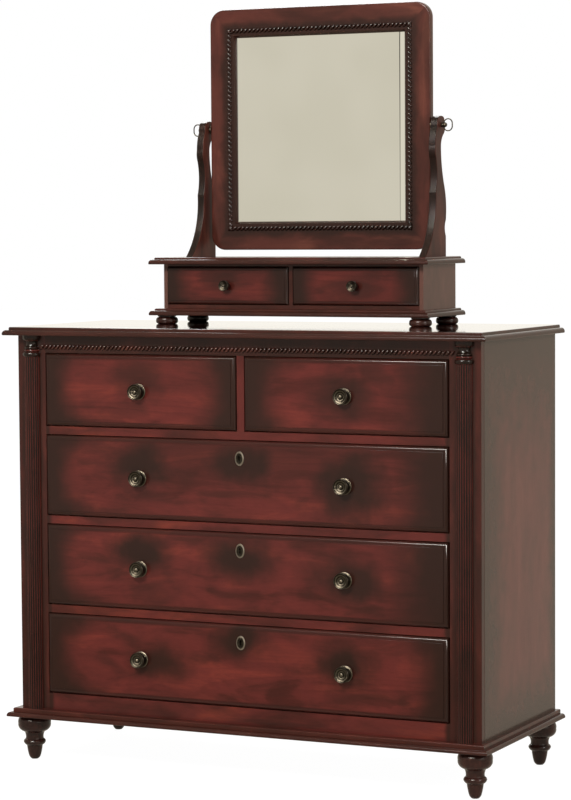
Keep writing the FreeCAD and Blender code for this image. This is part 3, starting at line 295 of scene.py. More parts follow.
def glazed(name, axis, tones, offset, dark_of, glaze=GLAZE, heart=None,
           film_strength=FILM_STRENGTH, **gloss):
    """Stained cherry under a glaze whose strength dark_of works out."""
    material, shader, place = new_material(name)
    colour, height = cherry_grain(place, axis, offset, tones, heart)
    axes = parts_of(place)
    wander = noise(place, 1 / GLAZE_WANDER, detail=3.0)
    cloudy = along(place, axis, (0.6, 0.6, 0.6), FILM_STRETCH_SHARE)
    film = noise(cloudy, 1 / FIGURE, detail=5.0, distortion=0.6)
    dark = larger(dark_of(axes, minus(wander, 0.5)),
                  fade(film, *FILM_STEPS, 0.0, film_strength))
    colour = blend_paint(dark, colour, paint(glaze))
    lacquer(shader, colour, height, **gloss)
    return material


def middle_and_half(node):
    """The middle of a node's box and half its size."""
    low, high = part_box(node)
    return (low + high) / 2, (high - low) / 2


def off_centre(value, centre):
    """How far a coordinate is from a centre, either way."""
    return unsigned(minus(value, centre))


def far_from(first, second):
    """The length of two distances at right angles."""
    squares = [times(value, value) for value in (first, second)]
    return root(plus(*squares))


# Soft ovals of glaze left on each front, in millimetres: beside its left or
# right knob or its keyhole, then how far right and up the oval lies, its reach
# across and up, and its strength
GLAZE_SPOTS = {
    "top_left_drawer": (("left", 0, 34, 66, 44, 0.72),),
    "top_right_drawer": (("left", -8, 0, 72, 52, 0.85),),
    "upper_drawer": (("left", 10, 34, 82, 60, 1.0), ("key", 8, -12, 100, 50, 1.0),
                     ("right", 20, 0, 95, 85, 1.0), ("key", 0, 20, 420, 90, 0.5)),
    "middle_drawer": (("left", 0, 42, 74, 46, 1.0), ("key", -2, -15, 82, 54, 1.0),
                      ("right", 8, -2, 88, 55, 0.95)),
    "lower_drawer": (("left", 50, -5, 70, 40, 0.95), ("key", -8, 8, 66, 46, 1.0),
                     ("right", -2, 18, 70, 56, 1.0)),
    "stand_left_drawer": (("left", -8, 15, 52, 27, 0.72),),
    "stand_right_drawer": (("left", 11, -6, 64, 27, 0.65),),
}
# How far glaze runs in from each front's ends, in millimetres: at half height,
# then in the top and bottom corners, first at the left end and then at the right
GLAZE_ENDS = {
    "top_left_drawer": (45, 76, 115, 44, 76, 76),
    "top_right_drawer": (52, 115, 85, 83, 95, 95),
    "upper_drawer": (45, 111, 134, 84, 105, 105),
    "middle_drawer": (45, 70, 140, 90, 100, 100),
    "lower_drawer": (47, 125, 135, 50, 90, 80),
    "stand_left_drawer": (37, 40, 59, 41, 54, 44),
    "stand_right_drawer": (33, 48, 48, 38, 60, 40),
}
# The heart of each front's growth rings, in millimetres right and up from its middle
RING_HEARTS = {
    "top_left_drawer": (-90, -70), "top_right_drawer": (310, 25), "upper_drawer": (178, 22),
    "middle_drawer": (-720, 6), "lower_drawer": (420, -60), "stand_left_drawer": (70, 20),
    "stand_right_drawer": (-260, -12),
}
CORNER_POWER = 2.5
# How the ovals and the ends fade out, in reaches, and how far their outlines wander
OVAL_FADE = (0.30, 1.75)
OVAL_WANDER = 1.1
END_FADE = (0.35, 2.4)
END_WANDER = 0.9
# The rounded border round a front's field keeps its glaze
BORDER = 11.5 * MM
SMALL_BORDER = 9.0 * MM
BORDER_FADE_SHARES = (0.7, 1.5)
BORDER_STRENGTH = 0.75


def glaze_oval(axes, wander, x, z, spot):
    """A soft oval of glaze beside a knob or a keyhole."""
    _, right, up, reach_x, reach_z, strength = spot
    across = over(minus(axes["X"], x + right * MM), reach_x * MM)
    above = over(minus(axes["Z"], z + up * MM), reach_z * MM)
    far = plus(far_from(across, above), times(wander, OVAL_WANDER))
    return fade(far, *OVAL_FADE, strength, 0.0)


def glaze_end(inward, rise, wander, reach, top, bottom):
    """Glaze at one end of a front, reaching further in along its top and bottom."""
    upper = power(larger(rise, 0.0), CORNER_POWER)
    lower = power(larger(times(rise, -1.0), 0.0), CORNER_POWER)
    limit = plus(reach * MM, times(upper, (top - reach) * MM))
    limit = plus(limit, times(lower, (bottom - reach) * MM))
    share = plus(over(inward, limit), times(wander, END_WANDER))
    return fade(share, *END_FADE, 1.0, 0.0)


def knob_node(drawer):
    """The node that holds a front's knob or knobs."""
    return drawer + ("_knobs" if drawer + "_knobs" in nodes else "_knob")


def hardware_places(drawer):
    """Where a front's knobs and keyhole are, as x and z."""
    middle, half = middle_and_half(knob_node(drawer))
    spread = half.x - half.z
    places = {"left": (middle.x - spread, middle.z), "right": (middle.x + spread, middle.z)}
    if drawer + "_escutcheon" in nodes:
        plate, _ = middle_and_half(drawer + "_escutcheon")
        places["key"] = (plate.x, plate.z)
    return places


def burnished_front(drawer, seed):
    """A drawer front: red where it is burnished, dark at its ends, edges, knobs and keyhole."""
    middle, half = middle_and_half(drawer + "_front")
    places = hardware_places(drawer)
    border = SMALL_BORDER if drawer.startswith("stand") else BORDER
    ends = GLAZE_ENDS[drawer]
    right, up = RING_HEARTS[drawer]
    heart = (middle.x + right * MM, middle.y + RING_DEPTH, middle.z + up * MM)

    def dark_of(axes, wander):
        along_x = minus(axes["X"], middle.x)
        rise = over(minus(axes["Z"], middle.z), half.z)
        from_left = plus(half.x, along_x)
        from_right = minus(half.x, along_x)
        edge = minus(half.z, off_centre(axes["Z"], middle.z))
        start, end = [border * share for share in BORDER_FADE_SHARES]
        values = [fade(edge, start, end, BORDER_STRENGTH, 0.0),
                  glaze_end(from_left, rise, wander, *ends[:3]),
                  glaze_end(from_right, rise, wander, *ends[3:])]
        for spot in GLAZE_SPOTS[drawer]:
            values.append(glaze_oval(axes, wander, *places[spot[0]], spot))
        return functools.reduce(larger, values)

    return glazed(f"burnished_{drawer}", "X", BURNISHED, (0.31 * seed, 0.0, 0.53 * seed),
                  dark_of, heart=heart)


# How the glaze fades from a rail's ends, and beside a post's column: over these
# distances, between these strengths, and wandering this far
RAIL_FADE = (6.0 * MM, 18.0 * MM)
RAIL_STRENGTHS = (0.9, 0.0)
RAIL_WANDER = 12.0 * MM
POST_FADE = (20.0 * MM, 34.0 * MM)
POST_STRENGTHS = (0.95, 0.12)
POST_WANDER = 10.0 * MM
# Glaze that is dark all over goes from its least to its most strength while its
# wander goes from one of these to the other
DARK_STEPS = (-0.2, 0.2)


def glazed_rails():
    """The rails between drawers: bright red, darkened at their two ends."""
    _, half = middle_and_half("drawer_rails")

    def dark_of(axes, wander):
        end = minus(half.x, off_centre(axes["X"], 0.0))
        end = plus(end, times(wander, RAIL_WANDER))
        return fade(end, *RAIL_FADE, *RAIL_STRENGTHS)
    return glazed("rail_cherry", "X", RAIL_TONES, (0.2, 0.0, 0.6), dark_of)


def dark_cherry(name, axis, tones, least, most, glaze=GLAZE, **gloss):
    """Cherry glazed dark all over, with the stain showing through in traces."""
    def dark_of(axes, wander):
        return fade(wander, *DARK_STEPS, least, most)
    return glazed(name, axis, tones, (0.3, 0.2, 0.7), dark_of, glaze, **gloss)


def glazed_post(side):
    """A post: dark beside its column, redder at both edges."""
    middle, _ = middle_and_half(f"{side}_column")

    def dark_of(axes, wander):
        near = off_centre(axes["X"], middle.x)
        near = plus(near, times(wander, POST_WANDER))
        return fade(near, *POST_FADE, *POST_STRENGTHS)
    return glazed(f"{side}_post_cherry", "Z", CASE_TONES, (0.4, 0.1, 0.0), dark_of)


# From the bottoms of a column's flutes to the crowns of its ridges, and what stands
# out further, its capital and its base, keeps its glaze
FLUTE_RADII = (18.4 * MM, 19.5 * MM)
FLUTE_STRENGTHS = (0.98, 0.38)
TURNED_RADII = (20.2 * MM, 20.8 * MM)
TURNED_STRENGTHS = (0.0, 0.95)
COLUMN_WANDER = 0.3


def glazed_column(side):
    """A column: glaze lies in the flutes, and their ridges are rubbed red."""
    middle, _ = middle_and_half(f"{side}_column")
    post_low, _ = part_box(f"{side}_post")

    def dark_of(axes, wander):
        radius = far_from(minus(axes["X"], middle.x), minus(axes["Y"], post_low.y))
        rubbed = larger(fade(radius, *FLUTE_RADII, *FLUTE_STRENGTHS),
                        fade(radius, *TURNED_RADII, *TURNED_STRENGTHS))
        return plus(rubbed, times(wander, COLUMN_WANDER), clamp=True)
    return glazed(f"{side}_column_glaze", "Z", BURNISHED, (0.7, 0.0, 0.3), dark_of, BLACK_GLAZE)


# How far glaze runs in from a side panel's edges, and fades, in reaches
SIDE_REACHES = {"front": 120 * MM, "back": 45 * MM, "top": 260 * MM, "foot": 110 * MM}
SIDE_FADE = (0.0, 1.6)
SIDE_WANDER = 1.1
SIDE_STRENGTH = 0.88
SIDE_FILM_STRENGTH = 0.25
# The heart of its growth rings, from its middle towards the back and up
SIDE_HEART = (60.0 * MM, -300.0 * MM)
# A board thinner than this in one direction has no glaze worked in from its faces
THIN = 20.0 * MM


def glazed_side(side):
    """A side panel: darkened from its front edge, its foot and, furthest, its top."""
    node = f"{side}_side_panel"
    middle, half = middle_and_half(node)
    heart = (middle.x + RING_DEPTH, middle.y + SIDE_HEART[0], middle.z + SIDE_HEART[1])

    def dark_of(axes, wander):
        gaps = {"front": minus(axes["Y"], middle.y - half.y),
                "back": minus(middle.y + half.y, axes["Y"]),
                "top": minus(middle.z + half.z, axes["Z"]),
                "foot": minus(axes["Z"], middle.z - half.z)}
        shares = [over(gaps[edge], reach) for edge, reach in SIDE_REACHES.items()]
        nearest = functools.reduce(smaller, shares)
        nearest = plus(nearest, times(wander, SIDE_WANDER))
        return fade(nearest, *SIDE_FADE, SIDE_STRENGTH, 0.0)
    return glazed(f"{side}_side_cherry", "Z", SIDE_TONES, (0.1, 0.2, 0.3), dark_of, SIDE_GLAZE,
                  heart, film_strength=SIDE_FILM_STRENGTH)


def edge_glazed(name, node, axis, tones, reach, strength, glaze=GLAZE):
    """A board darkened along its edges."""
    middle, half = middle_and_half(node)

    def dark_of(axes, wander):
        gaps = [minus(half[i], off_centre(axes[i], middle[i]))
                for i in range(3) if half[i] > THIN]
        nearest = functools.reduce(smaller, gaps)
        nearest = plus(nearest, times(wander, reach))
        return fade(nearest, 0.0, reach, strength, 0.0)
    return glazed(name, axis, tones, (0.1, 0.2, 0.3), dark_of, glaze)


# Lacquer over a sawn and sanded edge is duller, and glaze lies this near the edge
SAWN_ROUGHNESS = 0.36
SAWN_SHEEN = 0.14
SAWN_FADE = (0.1 * MM, 1.5 * MM)
SAWN_STRENGTHS = (0.2, 0.95)
SAWN_WANDER = 0.4


def glazed_upright(node):
    """A shaped upright: dark round its sawn edge, redder on its two flat sides."""
    middle, half = middle_and_half(node)

    def dark_of(axes, wander):
        inward = minus(half.x, off_centre(axes["X"], middle.x))
        edge = fade(inward, *SAWN_FADE, *SAWN_STRENGTHS)
        return plus(edge, times(wander, SAWN_WANDER), clamp=True)
    return glazed(f"{node}_cherry", "Z", FRAME_TONES, (0.3, 0.2, 0.7), dark_of, BLACK_GLAZE,
                  roughness=SAWN_ROUGHNESS, sheen=SAWN_SHEEN)


# How glaze fades outwards from the rope round the mirror, and wanders
FRAME_FADE = (2.0 * MM, 27.0 * MM)
FRAME_WANDER = 30.0 * MM
FRAME_STRENGTH = 0.95


def glazed_frame(node, axis, seed):
    """A member of the mirror's frame: dark round the rope, red towards its outer edge."""
    middle, half = middle_and_half("mirror_rope_moulding")

    def dark_of(axes, wander):
        across = minus(off_centre(axes["X"], middle.x), half.x)
        above = minus(off_centre(axes["Z"], middle.z), half.z)
        out = larger(across, above)
        out = plus(out, times(wander, FRAME_WANDER))
        return fade(out, *FRAME_FADE, FRAME_STRENGTH, 0.0)
    return glazed(f"{node}_cherry", axis, FRAME_TONES, (0.2 * seed, 0.5, 0.8), dark_of)


def metal(shader, colour, roughness):
    """Bare metal of one colour and roughness."""
    give(shader, {"Base Color": colour, "Metallic": 1.0, "Roughness": roughness})


# Brass is blackened in its hollows and rubbed bright where fingers and cloth reach
BRASS_DARK = "#29251F"
BRASS_WORN = "#746B5E"
PLATE_WORN = "#8C8276"
# The stand's small knobs take a darker copy of the worn brass, as painted shade
SMALL_WORN_AND_SHADED = "#564F45"
BRASS_ROUGHNESS = 0.42
BRASS_CLOUD = 5.0 * MM
BRASS_RELIEF = 0.12
BRASS_DEPTH = 0.1 * MM
EVEN_WEAR = 0.35
CLOUD_WEAR = 0.9
# Where a knob's face is rubbed bright, as shares of its radius: its button, and the
# crests of two turned rings and of its rim
BUTTON_SHARES = (0.14, 0.24)
CREST_SHARES = (0.42, 0.70, 0.97)
CREST_HALF_SHARE = 0.09
CREST_WEAR = 0.7
# Where a keyhole plate rises to its border, as shares of its half width
PLATE_BORDER_SHARES = (0.68, 0.9)
PLATE_WEAR = 1.2


def brass(name, wear_of, worn=BRASS_WORN):
    """Turned or cast brass whose wear wear_of works out."""
    material, shader, place = new_material(name)
    cloud = noise(place, 1 / BRASS_CLOUD, detail=4.0, roughness=0.6)
    axes = parts_of(place)
    wear = plus(wear_of(axes), times(minus(cloud, 0.5), CLOUD_WEAR), clamp=True)
    colour = blend_paint(wear, paint(BRASS_DARK), paint(worn))
    metal(shader, colour, BRASS_ROUGHNESS)
    give(shader, {"Normal": bump(cloud, BRASS_RELIEF, BRASS_DEPTH)})
    return material


def knob_brass(drawer):
    """A drawer's knobs: bright on the button and the crests of the rings, dark between."""
    middle, half = middle_and_half(knob_node(drawer))

    def wear_of(axes):
        across = minus(off_centre(axes["X"], middle.x), half.x - half.z)
        far = over(far_from(across, minus(axes["Z"], middle.z)), half.z)
        bright = [fade(far, *BUTTON_SHARES, 1.0, 0.0)]
        for crest in CREST_SHARES:
            beside = off_centre(far, crest)
            bright.append(fade(beside, 0.0, CREST_HALF_SHARE, CREST_WEAR, 0.0))
        return functools.reduce(larger, bright)
    # The stand's knobs get the darker brass, which stands in for their shade
    return brass(f"{drawer}_knob_brass", wear_of,
                 SMALL_WORN_AND_SHADED if drawer.startswith("stand") else BRASS_WORN)


def plate_brass(node):
    """A keyhole plate: its raised border is rubbed bright, the rest is dark."""
    middle, half = middle_and_half(node)

    def wear_of(axes):
        across = over(off_centre(axes["X"], middle.x), half.x)
        above = over(off_centre(axes["Z"], middle.z), half.z)
        far = far_from(across, above)
        return fade(far, *PLATE_BORDER_SHARES, 0.0, PLATE_WEAR)
    return brass(f"{node}_brass", wear_of, PLATE_WORN)


def plain_brass():
    """The pivot plates and thumbscrews, evenly worn."""
    return brass("antique_brass", lambda axes: EVEN_WEAR)


# At the right a pale strip this wide is painted on the glass as the bevel's highlight.
# Inside it a dark line is painted along the arris as shade. It fades between these
# distances from its middle and is fainter at its foot than at its top.
BEVEL_HIGHLIGHT_WIDTH = 12.5 * MM
ARRIS_SHADE_FADE = (0.75 * MM, 1.5 * MM)
ARRIS_SHADE_STRENGTHS = (0.4, 1.0)
BEVEL_HIGHLIGHT_TINT = "#FFFDF8"
ARRIS_SHADE_TINT = "#332E28"
GLASS_TINTS = ("#EFEDE6", "#F4F2EC")
GLASS_CLOUD = 180.0 * MM
HAZE_STEPS = (0.3, 0.7)
GLASS_ROUGHNESS = 0.02


def silvered_glass():
    """A clean silvered mirror, faintly warm green, with a painted highlight and shade on its
    right bevel.
    """
    sight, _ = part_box("mirror_right_stile")
    material, shader, place = new_material("silvered_glass")
    axes = parts_of(place)
    haze = noise(place, 1 / GLASS_CLOUD, detail=1.0)
    colour = blend_paint(fade(haze, *HAZE_STEPS), *map(paint, GLASS_TINTS))
    past = minus(axes["X"], sight.x - BEVEL_HIGHLIGHT_WIDTH)
    # Painted highlight: the bevel's pale strip at the right
    colour = blend_paint(more_than(past, 0.0), colour, paint(BEVEL_HIGHLIGHT_TINT))
    # Painted shade: the dark line along the bevel's arris, fainter towards the foot
    line = fade(unsigned(past), *ARRIS_SHADE_FADE, 1.0, 0.0)
    lower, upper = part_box("mirror_glass")
    line = times(line, fade(axes["Z"], lower.z, upper.z, *ARRIS_SHADE_STRENGTHS))
    colour = blend_paint(line, colour, paint(ARRIS_SHADE_TINT))
    metal(shader, colour, GLASS_ROUGHNESS)
    return material


# Secondary woods inside the case
MAPLE = ("#A98258", "#C29B6E", "#D2AE82")
POPLAR = ("#8E7B55", "#A8946A", "#B8A67E")
PLY = ("#6E4630", "#84573C", "#98694A")
END_GRAIN = "#7C4A2E"
SEALED_ROUGHNESS = 0.45
INNER_OFFSET = (0.9, 0.4, 0.2)


def pale_wood(name, axis, tones):
    """Secondary wood inside the case: sealed, not stained."""
    material, shader, place = new_material(name)
    lacquer(shader, *cherry_grain(place, axis, INNER_OFFSET, tones), SEALED_ROUGHNESS)
    return material


# Dovetails at both ends of a drawer's sides
TAIL_PITCH = 27.0 * MM
PIN_HALF = 2.6 * MM
PIN_FLARE_SHARE = 0.18
LAP = 12.0 * MM


def dovetailed_maple(drawer):
    """A drawer box: maple, with the pins' end grain showing at the ends of its sides."""
    middle, half = middle_and_half(f"{drawer}_box")
    tails = round(half.z * 2 / TAIL_PITCH)
    pitch = half.z * 2 / tails
    material, shader, place = new_material(f"{drawer}_box_maple")
    colour, height = cherry_grain(place, "Y", INNER_OFFSET, MAPLE)
    axes = parts_of(place)
    inward = minus(half.y, off_centre(axes["Y"], middle.y))
    count = over(minus(axes["Z"], middle.z - half.z), pitch)
    nearest = off_centre(fraction(plus(count, 0.5)), 0.5)
    reach = plus(PIN_HALF, times(inward, PIN_FLARE_SHARE))
    pin = less_than(times(nearest, pitch), reach)
    lap = less_than(inward, LAP)
    outside = more_than(off_centre(axes["X"], middle.x), half.x - MM)
    shown = times(times(pin, lap), outside)
    colour = blend_paint(shown, colour, paint(END_GRAIN))
    lacquer(shader, colour, height, SEALED_ROUGHNESS)
    return material


ZINC_TINTS = ("#8E8C84", "#B4B1A6")
ZINC_CLOUD = 2.0 * MM
ZINC_ROUGHNESS = 0.38


def zinc():
    """Zinc-plated steel of the small fixings behind."""
    material, shader, place = new_material("zinc")
    cloud = noise(place, 1 / ZINC_CLOUD, detail=2.0)
    metal(shader, blend_paint(cloud, *map(paint, ZINC_TINTS)), ZINC_ROUGHNESS)
    return material


def dress(thing, material):
    """Give an object one material over all its faces."""
    thing.data.materials.clear()
    thing.data.materials.append(material)


SHARP_DEGREES = 34.0
WELD = 0.002 * MM


def in_scene(name, data):
    """An object of some data, linked into the scene."""
    thing = bpy.data.objects.new(name, data)
    bpy.context.scene.collection.objects.link(thing)
    return thing


def plain_mesh(thing):
    """Turn an object with modifiers into a plain mesh with none."""
    bpy.context.view_layer.update()
    graph = bpy.context.evaluated_depsgraph_get()
    mesh = bpy.data.meshes.new_from_object(thing.evaluated_get(graph))
    thing.modifiers.clear()
    thing.data = mesh
    mesh.name = thing.name
    return thing


def stand_in(piece, node):
    """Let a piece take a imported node's place and ride with its body."""
    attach(piece, body_of[node])
    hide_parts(node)


def eased(node, material, cutter=None):
    """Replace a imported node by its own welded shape, smooth but for its real edges.

    A cutter's shape is taken out of it first.
    """
    welder = bmesh.new()
    welder.from_mesh(nodes[node].data)
    bmesh.ops.remove_doubles(welder, verts=welder.verts, dist=WELD)
    for face in welder.faces:
        face.smooth = True
    limit = math.radians(SHARP_DEGREES)
    for edge in welder.edges:
        if len(edge.link_faces) == 2 and edge.calc_face_angle(0.0) > limit:
            edge.smooth = False
    mesh = bpy.data.meshes.new(node + "_eased")
    welder.to_mesh(mesh)
    welder.free()
    if "custom_normal" in mesh.attributes:
        mesh.attributes.remove(mesh.attributes["custom_normal"])
    piece = in_scene(node + "_eased", mesh)
    if cutter is not None:
        cut = piece.modifiers.new("Sinks", "BOOLEAN")
        cut.operation = "DIFFERENCE"
        cut.solver = "EXACT"
        cut.object = cutter
    weighted = piece.modifiers.new("FaceWeights", "WEIGHTED_NORMAL")
    weighted.keep_sharp = True
    plain_mesh(piece)
    dress(piece, material)
    stand_in(piece, node)
    return piece


def mesh_object(name, verts, faces):
    """An object from points and faces."""
    mesh = bpy.data.meshes.new(name)
    mesh.from_pydata(verts, [], faces)
    mesh.update()
    return in_scene(name, mesh)


def tube(name, verts, count):
    """A closed tube through rings of so many points, with its faces turned outwards."""
    faces = []
    for start in range(0, len(verts) - count, count):
        for j in range(count):
            after = (j + 1) % count
            faces.append((start + j, start + after, start + count + after, start + count + j))
    faces.append(tuple(range(count)))
    faces.append(tuple(range(len(verts) - count, len(verts))))
    thing = mesh_object(name, verts, faces)
    thing.data.shade_smooth()
    turner = bmesh.new()
    turner.from_mesh(thing.data)
    bmesh.ops.recalc_face_normals(turner, faces=turner.faces)
    turner.to_mesh(thing.data)
    turner.free()
    return thing


def turns(count):
    """So many angles evenly round a circle."""
    return [2 * math.pi * j / count for j in range(count)]


# The path of a rope's strand over its half-round moulding and the strand's own half
# height are shares of the moulding's radius, its half width and slant of the pitch
STRAND_PATH_SHARES = (0.82, 0.62)
STRAND_HEIGHT_SHARE = 0.38
STRAND_WIDTH_SHARE = 0.27
STRAND_SLANT_SHARE = 0.55
STRAND_TAPER_POWER = 4
STRAND_LEAST_TAPER = 0.05
STRAND_RINGS = 9
STRAND_SIDES = 6


def rope_strand(name, radius, pitch):
    """One carved strand of a half-round rope: a tapered lobe laid over it at a slant.

    The moulding runs along X, its back is the plane Y = 0 and it faces -Y.
    """
    verts = []
    tall, deep = [radius * share for share in STRAND_PATH_SHARES]
    slant = pitch * STRAND_SLANT_SHARE
    for i in range(STRAND_RINGS):
        share = i / (STRAND_RINGS - 1)
        angle = math.pi * (share - 0.5)
        taper = math.sqrt(max(1.0 - (2 * share - 1) ** STRAND_TAPER_POWER,
                              STRAND_LEAST_TAPER))
        centre = Vector((slant * angle * 2 / math.pi, -deep * math.cos(angle),
                         tall * math.sin(angle)))
        ahead = Vector((slant * 2 / math.pi, deep * math.sin(angle),
                        tall * math.cos(angle))).normalized()
        out = Vector((0, -math.cos(angle), math.sin(angle)))
        out = (out - ahead * out.dot(ahead)).normalized()
        side = ahead.cross(out)
        for turn in turns(STRAND_SIDES):
            verts.append(centre + side * math.cos(turn) * pitch * STRAND_WIDTH_SHARE * taper
                         + out * math.sin(turn) * radius * STRAND_HEIGHT_SHARE * taper)
    return tube(name, verts, STRAND_SIDES)


# A cross-headed screw's head: rings of points at these shares of its radius, and
# how far its face has fallen from the crown there, as shares of the head's height
HEAD_RING_SHARES = (0.10, 0.28, 0.50, 0.62, 0.85, 1.0)
HEAD_FALL_SHARES = (0.0, 0.02, 0.08, 0.16, 0.45, 1.0)
CROSS_REACH_SHARE = 0.5
CROSS_DEPTH_SHARE = 0.75
CROSS_ARM_SINE = 0.4
HEAD_POINTS = 24


def screw_head(name, radius, height):
    """A raised cross head that lies on the plane Y = 0 and faces +Y."""
    verts = []
    for share, fall in zip(HEAD_RING_SHARES, HEAD_FALL_SHARES):
        for turn in turns(HEAD_POINTS):
            in_cross = share <= CROSS_REACH_SHARE and abs(math.sin(2 * turn)) < CROSS_ARM_SINE
            depth = CROSS_DEPTH_SHARE if in_cross else 0.0
            verts.append(Vector((radius * share * math.cos(turn), height * (1 - fall - depth),
                                 radius * share * math.sin(turn))))
    return tube(name, verts, HEAD_POINTS)


def repeat_tree():
    """Geometry nodes that stand copies of one object along the edges of a path."""
    tree = bpy.data.node_groups.new("copies_along_path", "GeometryNodeTree")
    face = tree.interface
    face.new_socket("Geometry", in_out="INPUT", socket_type="NodeSocketGeometry")
    face.new_socket("Copy", in_out="INPUT", socket_type="NodeSocketObject")
    face.new_socket("Pitch", in_out="INPUT", socket_type="NodeSocketFloat")
    face.new_socket("Finish", in_out="INPUT", socket_type="NodeSocketMaterial")
    face.new_socket("Geometry", in_out="OUTPUT", socket_type="NodeSocketGeometry")
    given = put(tree, "NodeGroupInput").outputs
    path = put_with("GeometryNodeMeshToCurve", {"Mesh": given["Geometry"]})
    points = put_with("GeometryNodeCurveToPoints",
                      {"Curve": path["Curve"], "Length": given["Pitch"]}, mode="LENGTH")
    turned = put_with("FunctionNodeAlignRotationToVector", {"Vector": points["Tangent"]},
                      axis="X", pivot_axis="Y")
    copy = put_with("GeometryNodeObjectInfo", {"Object": given["Copy"]})
    stood = put_with("GeometryNodeInstanceOnPoints",
                     {"Points": points["Points"], "Instance": copy["Geometry"],
                      "Rotation": turned["Rotation"]})
    real = put_with("GeometryNodeRealizeInstances", {"Geometry": stood["Instances"]})
    finish = put_with("GeometryNodeSetMaterial",
                      {"Geometry": real["Geometry"], "Material": given["Finish"]})
    put(tree, "NodeGroupOutput", {"Geometry": finish["Geometry"]})
    return tree


def copies_along(name, runs, copy, pitch, material, tree):
    """Copies of an object along straight runs, made one plain mesh."""
    verts, edges = [], []
    for start, end in runs:
        edges.append((len(verts), len(verts) + 1))
        verts += [start, end]
    mesh = bpy.data.meshes.new(name)
    mesh.from_pydata(verts, edges, [])
    piece = in_scene(name, mesh)
    modifier = piece.modifiers.new("Copies", "NODES")
    modifier.node_group = tree
    values = {"Copy": copy, "Pitch": pitch, "Finish": material}
    for item in tree.interface.items_tree:
        if item.in_out == "INPUT" and item.name in values:
            modifier[item.identifier] = values[item.name]
    return plain_mesh(piece)


def runs_round(node, inset, lift=0.0, shift=0.0):
    """Runs along all four edges of a node's back, the upright ones shorter by a shift."""
    low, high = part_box(node)
    x0, x1, z0, z1 = low.x + inset, high.x - inset, low.z + inset, high.z - inset
    y = high.y + lift
    return [((x0, y, z0), (x1, y, z0)), ((x0, y, z1), (x1, y, z1)),
            ((x0, y, z0 + shift), (x0, y, z1 - shift)),
            ((x1, y, z0 + shift), (x1, y, z1 - shift))]


def camera():
    """The photograph's camera, placed and turned as it stood."""
    data = bpy.data.cameras.new("photo_camera")
    data.lens = CAMERA_LENS
    data.sensor_width = CAMERA_SENSOR
    data.clip_end = CAMERA_REACH
    thing = in_scene("photo_camera", data)
    yaw, pitch, roll = map(math.radians, (CAMERA_YAW_DEGREES, CAMERA_PITCH_DEGREES,
                                          CAMERA_ROLL_DEGREES))
    ahead = Vector((-math.sin(yaw) * math.cos(pitch), math.cos(yaw) * math.cos(pitch),
                    -math.sin(pitch)))
    right = Vector((math.cos(yaw), math.sin(yaw), 0.0))
    up = right.cross(ahead)
    tilted = right * math.cos(roll) - up * math.sin(roll)
    up = up * math.cos(roll) + right * math.sin(roll)
    rows = zip(tilted, up, -ahead, CAMERA_PLACE)
    thing.matrix_world = Matrix((*rows, (0, 0, 0, 1)))
    bpy.context.scene.camera = thing


def softbox(name, place, target, width, height, watts):
    """A rectangular soft light aimed at a point."""
    data = bpy.data.lights.new(name, "AREA")
    data.shape = "RECTANGLE"
    data.size, data.size_y = width, height
    data.energy = watts
    thing = in_scene(name, data)
    thing.location = place
    aim = Vector(target) - Vector(place)
    thing.rotation_mode = "QUATERNION"
    thing.rotation_quaternion = aim.to_track_quat("-Z", "Y")


# A wide light high in front puts the white dots on the turnings and the lines on the
# fronts' upper edges, and a weaker one at the right the second dot beside each. A
# third stands behind, out of the photograph's view. Each has its place, the point
# that it is aimed at, its width and height, and its power in watts.
SOFTBOXES = {
    "key": ((-0.19, -3.6, 3.1), (0, 0, 0.7), 1.5, 0.9, 130.0),
    "side": ((4.6, -1.3, 2.7), (0, 0, 0.7), 1.2, 1.2, 65.0),
    "back": ((-2.8, 4.6, 4.6), (0, 0, 0.9), 2.0, 2.0, 150.0),
}
AMBIENT = 0.34
# The lamp as gloss mirrors it: its bearing from straight ahead, positive to the
# right, and its height, as the sine of its elevation
LAMP_BEARINGS = (-24.5, -19.5, 8.0, 14.0)
LAMP_HEIGHTS = (0.53, 0.57, 0.64, 0.68)
LAMP_STRENGTH = 70.0
# Ways that the lacquer looks, as the camera sees them: back off the top, and
# off edges that face the right, where a tall bright panel stands
BEHIND = (-0.43, 0.90, 0.0)
PANEL_WAY = (0.90, -0.43, 0.05)
# How nearly a way has to face these for the room to turn from beige to warm, from
# warm to white, and for the panel to show
WARM_STEPS = (-0.35, 0.45)
WHITE_STEPS = (0.70, 0.95)
PANEL_STEPS = (0.92, 0.98)
PANEL_STRENGTH = 2.8
ROOM_BEIGE = "#D5D1C3"
ROOM_WARM = "#D6CAB7"
ROOM_WHITE = "#FFFFFF"
BEHIND_WHITE = "#FBF7EE"
FLOOR_REACH = 30.0
# In gloss the floor glows with these painted tones instead of its lit colour: warm
# round the object, dim in front of it and as pale as the room further off
FLOOR_WARM = "#CEC5B3"
FLOOR_DIM = "#ABA18B"
FLOOR_DIM_SPAN = (-1.15, -0.45)
FLOOR_PALE_SPAN = (-4.5, -1.6)
FLOOR_MATT = "#F2F1EF"
FLOOR_GLOW = 0.985
FLOOR_SHADE = "#585858"


def facing(way, direction):
    """How nearly a ray goes one way: 1 when it does, 0 at right angles to it."""
    length = math.sqrt(sum(part * part for part in direction))
    unit = tuple(part / length for part in direction)
    return vector_step("DOT_PRODUCT", way, unit)["Value"]


